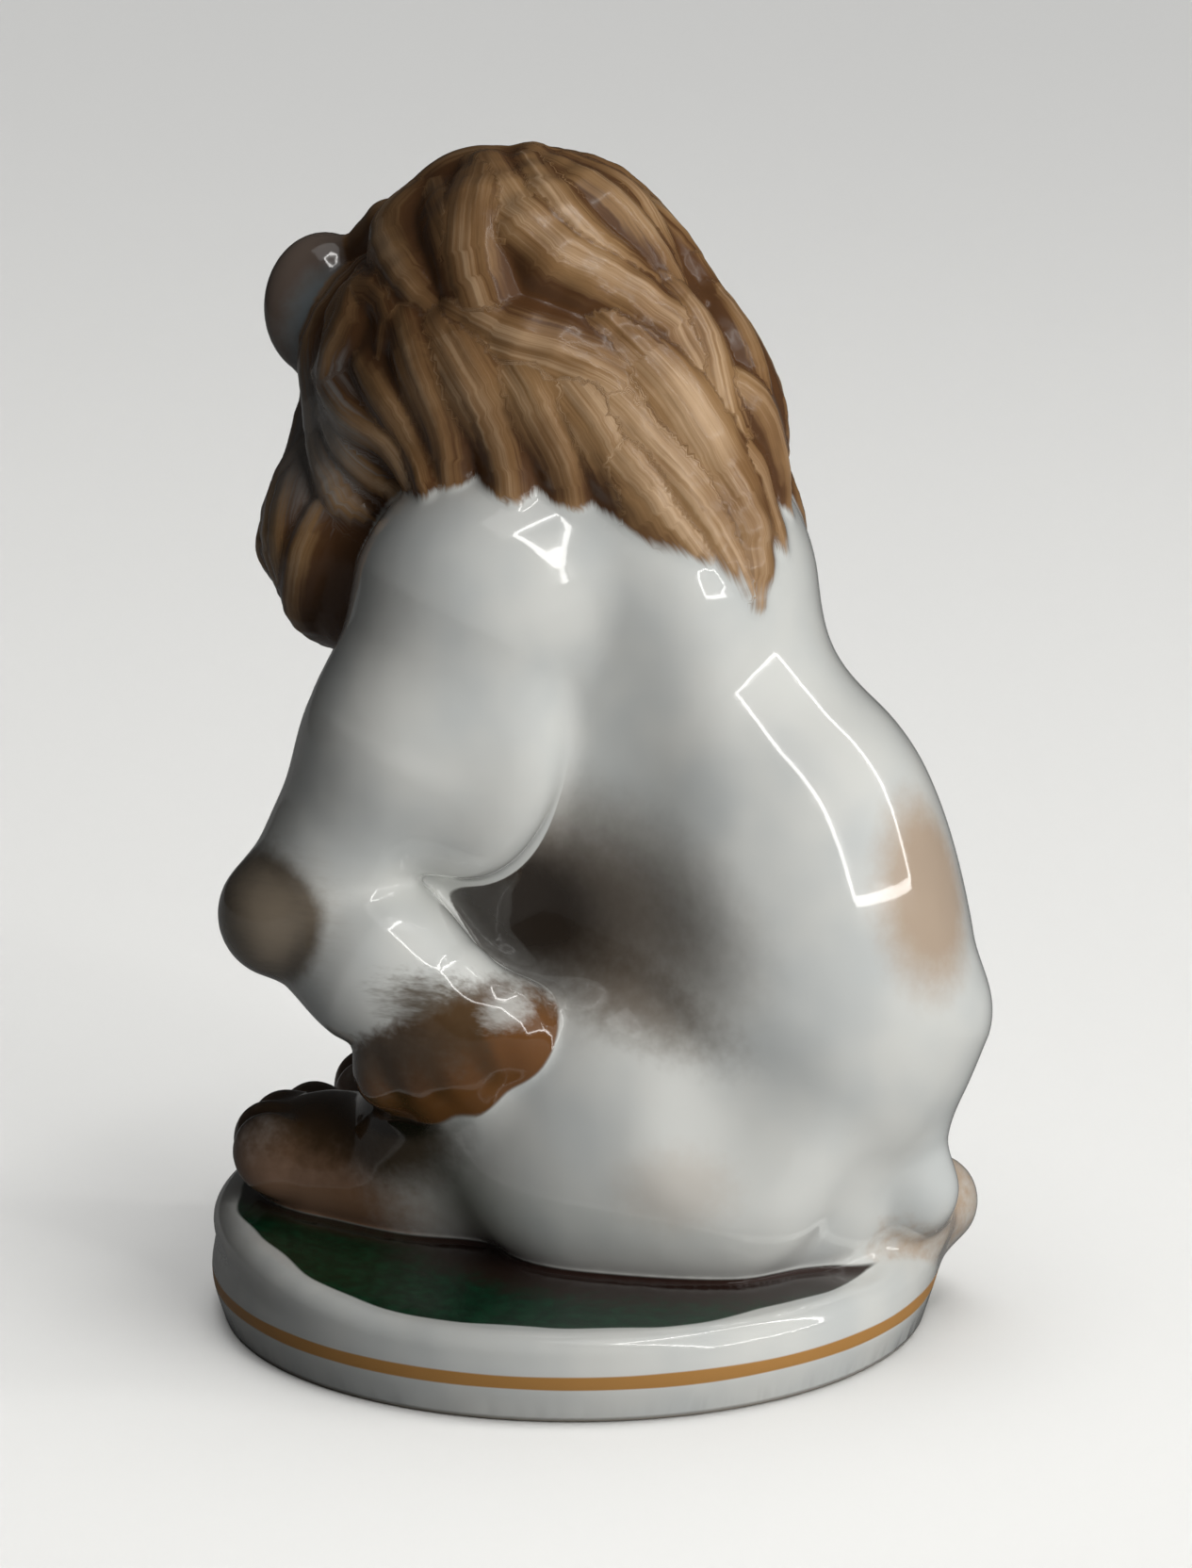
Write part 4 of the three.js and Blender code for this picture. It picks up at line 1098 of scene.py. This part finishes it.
def paint_face(p, c):
    """The face, then the ears: brown rims, a grey middle at the back in painted shade and pink within."""
    p.on_face((0, 20, 10), (13, 12, 8), c.tan, 0.8, 0.5, 0.3, both=False)
    p.on_face((0, 30, 2.5), (5.5, 11, 5), c.tan, 0.8, 0.45, 0.3, both=False)
    p.on_face((13, 12, -3), (7, 9, 8), c.tan, 0.5, 0.5, 0.4)
    p.on_face((9.0, 19.4, 4.8), (5.2, 4.6, 4.2), c.umber, 0.8, 0.3, 0.1)
    p.on_face(EYE, (3.5, 3.3, 2.75), c.line, 0.95, 0.12, 0.0)
    p.on_face((9.1, 20.6, 4.9), (2.7, 2.2, 1.9), c.eye_white, 1.0, 0.15, 0.0)
    p.on_face((9.4, 21.6, 4.9), (1.75, 1.6, 1.75), c.eye, 1.0, 0.15, 0.0)
    p.on_face((9.5, 22.0, 4.9), (0.85, 1.2, 0.85), c.line, 1.0, 0.2, 0.0)
    p.on_face((0, 39.4, -0.4), (5.4, 4.0, 3.4), c.nose, 0.92, 0.18, 0.08, both=False)
    p.on_face((0, 40.2, -6.6), (0.75, 2.4, 4.4), c.line, 0.85, 0.4, 0.0, both=False)
    p.on_face((4.6, 36.6, -11.9), (5.4, 4.6, 0.85), c.line, 0.8, 0.4, 0.1)
    p.on_face((0, 30, -16.5), (6, 7, 5), c.tan, 0.35, 0.5, 0.3, both=False)
    for side, (left, forward, up) in ((1, EAR_LEFT), (-1, EAR_RIGHT)):
        p.on_face((left, forward, up), (10.5, 8, 12), c.mane_dark, 0.85, 0.15, 0.15, both=False)
        back = (left - 0.5 * side, forward - 4.6, up - 3.0)
        # Painted shade: the white middle of the ear's back is laid in grey.
        p.on_face(back, (5.4, 5, 7), c.ear_grey, 0.92, 0.4, 0.15, both=False)
        p.on_face((left, forward + 4.2, up), (4.6, 4.2, 6.2), c.ear_pink, 0.8, 0.35, 0.15, both=False)


def paint_mane(p, c, wash):
    """The mane, which leaves each cheek's strip bare and the bib's middle pale; the strip gets painted shade."""
    n = p.nodes
    hair, middle, fine, strands = hair_colours(n, c, wash)
    torn_edge = n.scaled(fine, 1.6, n.scaled(middle, 0.8, -1.1))
    mane = n.ease(n.maths("ADD", n.attribute("in_mane"), torn_edge), -0.6, 0.6)
    bare_bib = p.dab((14, -32, 121), (9, 10, 9), LEVEL, 0.6, 0.9, fine)
    mane = n.times(mane, n.maths("SUBTRACT", 1.0, n.times(bare_bib, 0.55)))
    shadow_side = p.dab((12, -32, 138), (30, 20, 30), LEVEL, 0.7, 0.2)
    hair = n.mix(n.times(shadow_side, 0.45), hair, c.mane_dark)
    # Painted shade on the cheek strip: grey and umber over the white glaze.
    cheek = p.dab((14, -34, 121), (10, 9, 14), LEVEL, 0.6, 0.3)
    p.lay(cheek, c.ear_grey, 0.8)
    p.lay(cheek, c.umber, 0.35)
    p.lay(mane, hair)
    return mane, middle, strands


def paint_base(p, c, glaze, sizes):
    """Green ground with a brown, partly painted shadow by the lion, a white wall and shoulder, a gold line and the
    bare foot.
    """
    n = p.nodes
    x, y, z = n.separate(p.position)
    radius = n.vector("LENGTH", n.combine(x, y, 0.0))
    waves = n.noise(n.combine(n.times(n.maths("ARCTAN2", y, x), 2.4), 0.0, 0.0), 1.0, 1.0)
    upper = n.ease(z, WIDEST_AT + 1.5, WIDEST_AT + 3.0)
    off_lion = n.ease(n.attribute("in_ground"), -0.9, -0.1)
    p.lay(off_lion, glaze)
    inside_edge = n.ease(n.maths("SUBTRACT", n.scaled(waves, 5.0, 43.2), radius), -0.25, 0.35)
    # The paint ends on both sides of the tail.
    beside = n.ease(n.maths("ABSOLUTE", n.scaled(waves, 4.0, x)), 6.0, 9.0)
    open_back = n.most(n.ease(y, 41.0, 39.0), n.times(beside, n.ease(y, 46.5, 45.0)))
    ground = n.times(off_lion, upper, inside_edge, open_back)
    p.lay(ground, n.mix(n.ease(p.mottle, 0.35, 0.75), c.green, c.green_light))
    # The brown band by the lion is partly the ground's paint and partly a painted shadow of the lion.
    from_lion = n.attribute("from_lion")
    p.lay(n.times(n.ease(from_lion, 4.5, 0.5), ground), c.ground_brown_and_shadow, 0.8)
    near_lion = n.ease(n.scaled(p.mottle, 6.0, from_lion), 13.0, 6.5)
    p.lay(n.times(near_lion, n.ease(y, -20, -7), ground), c.ground_brown_and_shadow, 0.9)
    from_line = n.maths("ABSOLUTE", n.maths("SUBTRACT", z, sizes.gold_height * 1000))
    past_edge = n.maths("SUBTRACT", from_line, n.scaled(waves, 0.4, sizes.gold_width * 500 - 0.2))
    gold = n.times(n.ease(past_edge, 0.12, -0.12), n.ease(radius, 48.0, 48.4))
    p.lay(gold, c.gold, 0.95)
    bare = n.times(n.ease(z, 0.55, 0.3), n.ease(radius, 42.3, 43.0))
    p.lay(bare, c.bare)
    # The lowest millimetre of the base, where it meets the table, is darkened with umber.
    p.lay(n.ease(z, 0.9, 0.45), c.umber, 0.5)
    return ground, gold, bare


def porcelain(paints, sizes):
    """Glazed porcelain with its paint, the gold line and the bare foot, as one finish."""
    material, n = new_material("Glazed porcelain")
    c = SimpleNamespace(**{name: colour4(getattr(paints, name)) for name in paints.__annotations__})
    position = n.vector("SCALE", n.add("ShaderNodeTexCoord").outputs["Object"], 1000.0)
    cloud = n.noise(position, 0.06, 2.0)
    glaze = n.mix(n.ease(cloud, 0.35, 0.7), c.glaze, c.glaze_cool)
    on_arm = n.attribute("on_arm")
    off_arm = n.ease(on_arm, -0.2, 0.25)
    only_arm = n.ease(on_arm, 0.5, -0.4)

    p = Painter(n, position, glaze)
    paint_body(p, c, off_arm, only_arm)
    on_foot = paint_feet(p, c, off_arm)
    paint_face(p, c)
    mane, middle, strands = paint_mane(p, c, cloud)
    ground, gold, bare = paint_base(p, c, glaze, sizes)

    rough = n.blend(mane, GLAZE_ROUGHNESS, n.scaled(middle, 0.16, HAIR_ROUGHNESS))
    rough = n.blend(gold, rough, GOLD_ROUGHNESS)
    rough = n.blend(bare, rough, BARE_ROUGHNESS)
    dull = n.most(gold, bare, n.times(ground, GREEN_DULLED), n.times(on_foot, off_arm, FEET_DULLED))
    coat = n.times(n.maths("SUBTRACT", 1.0, dull), n.blend(mane, 1.0, COAT_ON_MANE))
    ripple = n.times(n.noise(position, 0.14, 1.0), GLAZE_RIPPLE)
    height = n.scaled(n.times(strands, mane), STRAND_RELIEF, ripple)
    inputs = {
        "Base Color": p.colour,
        "Roughness": rough,
        "Metallic": n.times(gold, GOLD_METAL),
        "Coat Weight": coat,
        "Normal": n.add("ShaderNodeBump", {"Height": height, "Distance": 0.001, "Strength": 1.0}).outputs[0],
        "IOR": 1.5,
        "Specular IOR Level": 0.4,
        "Coat Roughness": 0.03,
        "Coat IOR": 1.5,
    }
    shader = n.add("ShaderNodeBsdfPrincipled", inputs)
    n.add("ShaderNodeOutputMaterial", {"Surface": shader.outputs[0]})
    return material


def floor_finish(colour):
    material, n = new_material("Studio floor")
    grain = n.noise(n.add("ShaderNodeTexCoord").outputs["Object"], 40.0, 3.0)
    tone = n.mix(n.ease(grain, 0.3, 0.7, 0.0, 0.04), colour4(colour), (0.5, 0.5, 0.5, 1.0))
    # The floor throws less light back than it shows, so that the shaded side and its paints keep their depth.
    seen = n.add("ShaderNodeLightPath").outputs["Is Camera Ray"]
    tone = n.mix(n.scaled(seen, -FLOOR_DARKENED, FLOOR_DARKENED), tone, (0.0, 0.0, 0.0, 1.0))
    shader = n.add("ShaderNodeBsdfPrincipled", {"Base Color": tone, "Roughness": 0.75})
    n.add("ShaderNodeOutputMaterial", {"Surface": shader.outputs[0]})
    return material


# ---- What a user can change ----


def paint_property(name, description, colour):
    return FloatVectorProperty(
        name=name, description=description, subtype="COLOR", size=3, min=0.0, max=1.0, default=colour
    )


def length_property(name, description, length, low, high):
    limits = {"default": length, "min": low, "max": high, "precision": 5}
    return FloatProperty(name=name, description=description, unit="LENGTH", subtype="DISTANCE", **limits)


def light_property(name, description, strength, high, unit="NONE"):
    return FloatProperty(name=name, description=description, default=strength, min=0.0, max=high, unit=unit)


class LionSizes(bpy.types.PropertyGroup):
    """Sizes of the figure that don't change its outline"""

    grid_step: length_property("Grid step", "How finely the lion's surface is worked out", 0.00062, 0.0004, 0.003)
    triangles: IntProperty(
        name="Triangles", description="How many triangles the figure keeps", default=194000, min=20000, max=199000
    )
    strand_depth: length_property(
        "Strand depth", "How deep the furrows between the strands of the mane are", 0.00015, 0.0, 0.001
    )
    gold_height: length_property(
        "Gold line height", "Height of the gold line's middle above the table", 0.0058, 0.003, 0.009
    )
    gold_width: length_property("Gold line width", "Width of the gold line round the base", 0.0018, 0.0005, 0.004)


class LionPaints(bpy.types.PropertyGroup):
    """Colours of the glaze and the paints"""

    glaze: paint_property("Glaze", "The white glaze", (0.70, 0.71, 0.685))
    glaze_cool: paint_property("Cool glaze", "The glaze where it pools and looks greyer", (0.60, 0.625, 0.62))
    mane: paint_property("Mane", "The mane's middle brown", (0.235, 0.128, 0.055))
    mane_ochre: paint_property("Mane ochre", "The mane's warmer wash", (0.305, 0.178, 0.08))
    # Also gives the painted highlight on the mane's crests.
    mane_light: paint_property("Mane light", "The mane's light strokes and crests", (0.53, 0.36, 0.215))
    # Also laid as painted shade over the mane's shaded side and between the locks.
    mane_dark: paint_property("Mane dark", "The mane's dark strokes", (0.10, 0.045, 0.018))
    ochre: paint_property("Ochre", "Toes and soles", (0.165, 0.068, 0.02))
    paw_brown: paint_property("Paw brown", "The backs of the forepaws", (0.10, 0.055, 0.024))
    # Also a painted shade on the cheek strips.
    umber: paint_property("Umber", "Elbows and wrists", (0.095, 0.066, 0.038))
    umber_light: paint_property("Light umber", "Dry strokes on the elbows", (0.3, 0.24, 0.17))
    olive: paint_property("Olive", "Dark strokes on the toes and feet", (0.05, 0.027, 0.01))
    # Partly the figurine's airbrushed sepia, partly painted shade in the folds.
    sepia: paint_property("Sepia", "The airbrushed shade in the folds", (0.13, 0.09, 0.055))
    # Painted shadow at its darkest: the recess under the arms and the gap under the forepaws.
    deep: paint_property("Deep sepia", "The darkest shade, under the arms", (0.022, 0.015, 0.01))
    tan: paint_property("Tan", "The soft brown patch on the back", (0.41, 0.25, 0.125))
    green: paint_property("Green", "The ground", (0.0015, 0.022, 0.009))
    green_light: paint_property("Light green", "The ground where the paint is thin", (0.0025, 0.045, 0.018))
    # Partly the ground's brown paint and partly a painted shadow of the lion.
    ground_brown_and_shadow: paint_property("Ground shade", "The brown shade by the lion", (0.03, 0.014, 0.011))
    gold: paint_property("Gold", "The line round the base", (0.6, 0.29, 0.065))
    bare: paint_property("Bare porcelain", "The unglazed foot ring", (0.62, 0.58, 0.52))
    eye: paint_property("Eye", "The iris", (0.42, 0.2, 0.03))
    eye_white: paint_property("Eye white", "The white of the eye", (0.62, 0.6, 0.52))
    line: paint_property("Line", "The pupils, the lids' line and the line of the mouth", (0.02, 0.012, 0.008))
    nose: paint_property("Nose", "The nose", (0.15, 0.06, 0.045))
    # Painted shade: the grey laid on the white backs of the ears and on the cheek strips.
    ear_grey: paint_property("Ear back", "The backs of the ears", (0.25, 0.29, 0.31))
    ear_pink: paint_property("Ear", "The inside of the ears", (0.42, 0.25, 0.19))


class StudioSettings(bpy.types.PropertyGroup):
    """The plain studio round the figure"""

    floor: paint_property("Floor", "Colour of the floor", (0.52, 0.52, 0.51))
    surround: paint_property("Surround", "Colour of the light from all round", (0.95, 0.93, 0.9))
    surround_strength: light_property("Surround strength", "Strength of the light from all round", 0.05, 3.0)
    backdrop_strength: light_property("Backdrop strength", "How bright the backdrop looks", 0.72, 3.0)
    floor_light: light_property("Floor light", "Strength of the light that falls on the floor alone", 3.3, 9.0)
    key_power: light_property("Key power", "Power of the large light", 7.2, 200.0, "POWER")
    side_power: light_property("Side power", "Power of the soft side light", 10.0, 200.0, "POWER")
    camera_distance: length_property(
        "Camera distance", "From the camera to the middle of the figure", 0.65, 0.3, 3.0
    )


# ---- The stage ----

VIEW_AZIMUTH = 110.0
VIEW_ELEVATION = 13.2
AIM = Vector((-0.00103, 0.00282, 0.073))
FOCAL_PIXELS = 5120.0
IMAGE_HEIGHT = 1664.0
SENSOR = 36.0

# Each light's azimuth, elevation and distance as in around(), then its width and height in metres
WINDOW_AT, WINDOW_SIZE = (171, 37, 1.1), (0.9, 1.25)
TOP_AT, TOP_SIZE = (150, 72, 1.2), (0.7, 0.5)
SIDE_AT, SIDE_SIZE = (152, 3, 1.0), (0.8, 0.8)
WINDOW_COLOUR = (1.0, 0.985, 0.96)
SIDE_COLOUR = (1.0, 0.99, 0.97)
WHITE = (1.0, 1.0, 1.0)
RIM_WIDTH = 0.045
RIM_SHARE = 0.75
RIM_FORWARD = 0.01
TOP_SHARE = 0.1
MIRRORED_SURROUND = 0.6
FLOOR_RADII = (0.2, 0.6, 2.0, 8.0)
FLOOR_STEPS = 96


def around(azimuth, elevation, distance):
    """A place about the aim: azimuth 0 is in front of the body, 90 on its left, in degrees."""
    a, e = math.radians(azimuth), math.radians(elevation)
    way = Vector((math.cos(e) * math.sin(a), -math.cos(e) * math.cos(a), math.sin(e)))
    return AIM + way * distance


def facing(place, target):
    return (target - place).to_track_quat("-Z", "Y").to_euler()


def add_camera(settings):
    data = bpy.data.cameras.new("camera")
    data.sensor_width = SENSOR
    data.lens = FOCAL_PIXELS * SENSOR / IMAGE_HEIGHT
    data.clip_start = 0.01
    data.clip_end = 50
    camera = bpy.data.objects.new("camera", data)
    camera.location = around(VIEW_AZIMUTH, VIEW_ELEVATION, settings.camera_distance)
    camera.rotation_euler = facing(camera.location, AIM)
    bpy.context.scene.collection.objects.link(camera)
    bpy.context.scene.camera = camera


def add_light(name, at, size, power, colour, shift=(0.0, 0.0)):
    """A flat light that faces the figure, moved sideways and upwards in its own plane."""
    data = bpy.data.lights.new(name, "AREA")
    data.shape = "RECTANGLE"
    data.size, data.size_y = size
    data.energy = power
    data.color = colour
    light = bpy.data.objects.new(name, data)
    place = around(*at)
    light.rotation_euler = facing(place, AIM)
    light.location = place + light.rotation_euler.to_matrix() @ Vector((*shift, 0.0))
    bpy.context.scene.collection.objects.link(light)
    return light


def add_window(power):
    """A tall soft light with a brighter rim, whose reflection reads as a window."""
    azimuth, elevation, distance = WINDOW_AT
    wide, tall = WINDOW_SIZE
    add_light("window", WINDOW_AT, WINDOW_SIZE, power * (1 - RIM_SHARE), WINDOW_COLOUR)
    upright, level = (RIM_WIDTH, tall), (wide, RIM_WIDTH)
    for name, x, y, size in (
        ("window left", -wide / 2, 0, upright),
        ("window right", wide / 2, 0, upright),
        ("window top", 0, tall / 2, level),
        ("window bottom", 0, -tall / 2, level),
    ):
        share = max(size) / (2 * (wide + tall))
        at = (azimuth, elevation, distance - RIM_FORWARD)
        add_light(name, at, size, power * RIM_SHARE * share, WINDOW_COLOUR, (x, y))


def add_floor_light(strength):
    """An even light that falls on the floor alone and keeps it pale far from the window."""
    data = bpy.data.lights.new("floor light", "SUN")
    data.energy = strength
    data.angle = math.radians(60)
    light = bpy.data.objects.new("floor light", data)
    bpy.context.scene.collection.objects.link(light)
    floor_only = bpy.data.collections.new("floor only")
    floor_only.objects.link(bpy.data.objects["floor"])
    light.light_linking.receiver_collection = floor_only


def add_floor(settings):
    """A round floor in rings, widest at the outside."""
    turns = [2 * math.pi * i / FLOOR_STEPS for i in range(FLOOR_STEPS)]
    points = [(0.0, 0.0, 0.0)] + [(r * math.cos(a), r * math.sin(a), 0.0) for r in FLOOR_RADII for a in turns]
    sides = [(i, (i + 1) % FLOOR_STEPS) for i in range(FLOOR_STEPS)]
    faces = [(0, 1 + i, 1 + j) for i, j in sides]
    for ring in range(len(FLOOR_RADII) - 1):
        a = 1 + ring * FLOOR_STEPS
        b = a + FLOOR_STEPS
        faces += [(a + i, b + i, b + j, a + j) for i, j in sides]
    mesh = bpy.data.meshes.new("floor")
    mesh.from_pydata(points, [], faces)
    mesh.materials.append(floor_finish(settings.floor))
    floor = bpy.data.objects.new("floor", mesh)
    bpy.context.scene.collection.objects.link(floor)


def add_surround(settings):
    """Weak light from all round, dimmer in reflections, and a paler backdrop where the camera looks at it."""
    world = bpy.data.worlds.new("Studio")
    world.use_nodes = True
    n = Nodes(world.node_tree)
    world.node_tree.nodes.clear()
    path = n.add("ShaderNodeLightPath").outputs
    weak = settings.surround_strength
    strength = n.blend(path["Is Glossy Ray"], weak, weak * MIRRORED_SURROUND)
    strength = n.blend(path["Is Camera Ray"], strength, settings.backdrop_strength)
    background = n.add("ShaderNodeBackground", {"Color": colour4(settings.surround), "Strength": strength})
    n.add("ShaderNodeOutputWorld", {"Surface": background.outputs[0]})
    bpy.context.scene.world = world
    bpy.context.scene.view_settings.view_transform = "Standard"


# ---- Operators, panel and registration ----


class LION_OT_figurine(bpy.types.Operator):
    """Builds the lion and its base as one glazed piece in place of the plain solid"""

    bl_idname = "lion.figurine"
    bl_label = "Lion figurine"

    def execute(self, context):
        if "lion_figurine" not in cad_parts:
            raise RuntimeError("the frame has no node named lion_figurine")
        scene = context.scene
        mesh = build_lion(scene.lion_sizes)
        piece = bpy.data.objects.new("porcelain_lion", mesh)
        scene.collection.objects.link(piece)
        mesh.materials.append(porcelain(scene.lion_paints, scene.lion_sizes))
        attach(piece, "root")
        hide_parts("lion_figurine")
        return {"FINISHED"}


class LION_OT_stage(bpy.types.Operator):
    """Builds the plain floor, the soft lights and the camera"""

    bl_idname = "lion.stage"
    bl_label = "Studio"

    def execute(self, context):
        settings = context.scene.lion_studio
        add_camera(settings)
        add_floor(settings)
        add_surround(settings)
        add_window(settings.key_power)
        add_floor_light(settings.floor_light)
        add_light("top", TOP_AT, TOP_SIZE, settings.key_power * TOP_SHARE, WHITE)
        # A soft light from the window's side that the glaze doesn't mirror.
        side = add_light("side", SIDE_AT, SIDE_SIZE, settings.side_power, SIDE_COLOUR)
        side.visible_glossy = False
        return {"FINISHED"}


class LION_PT_panel(bpy.types.Panel):
    """The lion's sizes, paints and studio"""

    bl_label = "Porcelain lion"
    bl_idname = "LION_PT_panel"
    bl_space_type = "VIEW_3D"
    bl_region_type = "UI"
    bl_category = "Porcelain lion"

    def draw(self, context):
        scene = context.scene
        layout = self.layout
        for group in (scene.lion_sizes, scene.lion_paints, scene.lion_studio):
            box = layout.box()
            for name in group.__annotations__:
                box.prop(group, name)
        layout.operator(LION_OT_figurine.bl_idname)
        layout.operator(LION_OT_stage.bl_idname)


CLASSES = (LionSizes, LionPaints, StudioSettings, LION_OT_figurine, LION_OT_stage, LION_PT_panel)


def register():
    for cls in CLASSES:
        bpy.utils.register_class(cls)
    bpy.types.Scene.lion_sizes = PointerProperty(type=LionSizes)
    bpy.types.Scene.lion_paints = PointerProperty(type=LionPaints)
    bpy.types.Scene.lion_studio = PointerProperty(type=StudioSettings)


def unregister():
    del bpy.types.Scene.lion_studio
    del bpy.types.Scene.lion_paints
    del bpy.types.Scene.lion_sizes
    for cls in reversed(CLASSES):
        bpy.utils.unregister_class(cls)


def main():
    register()
    bpy.ops.lion.figurine()
    bpy.ops.lion.stage()


if __name__ == "__main__":
    main()
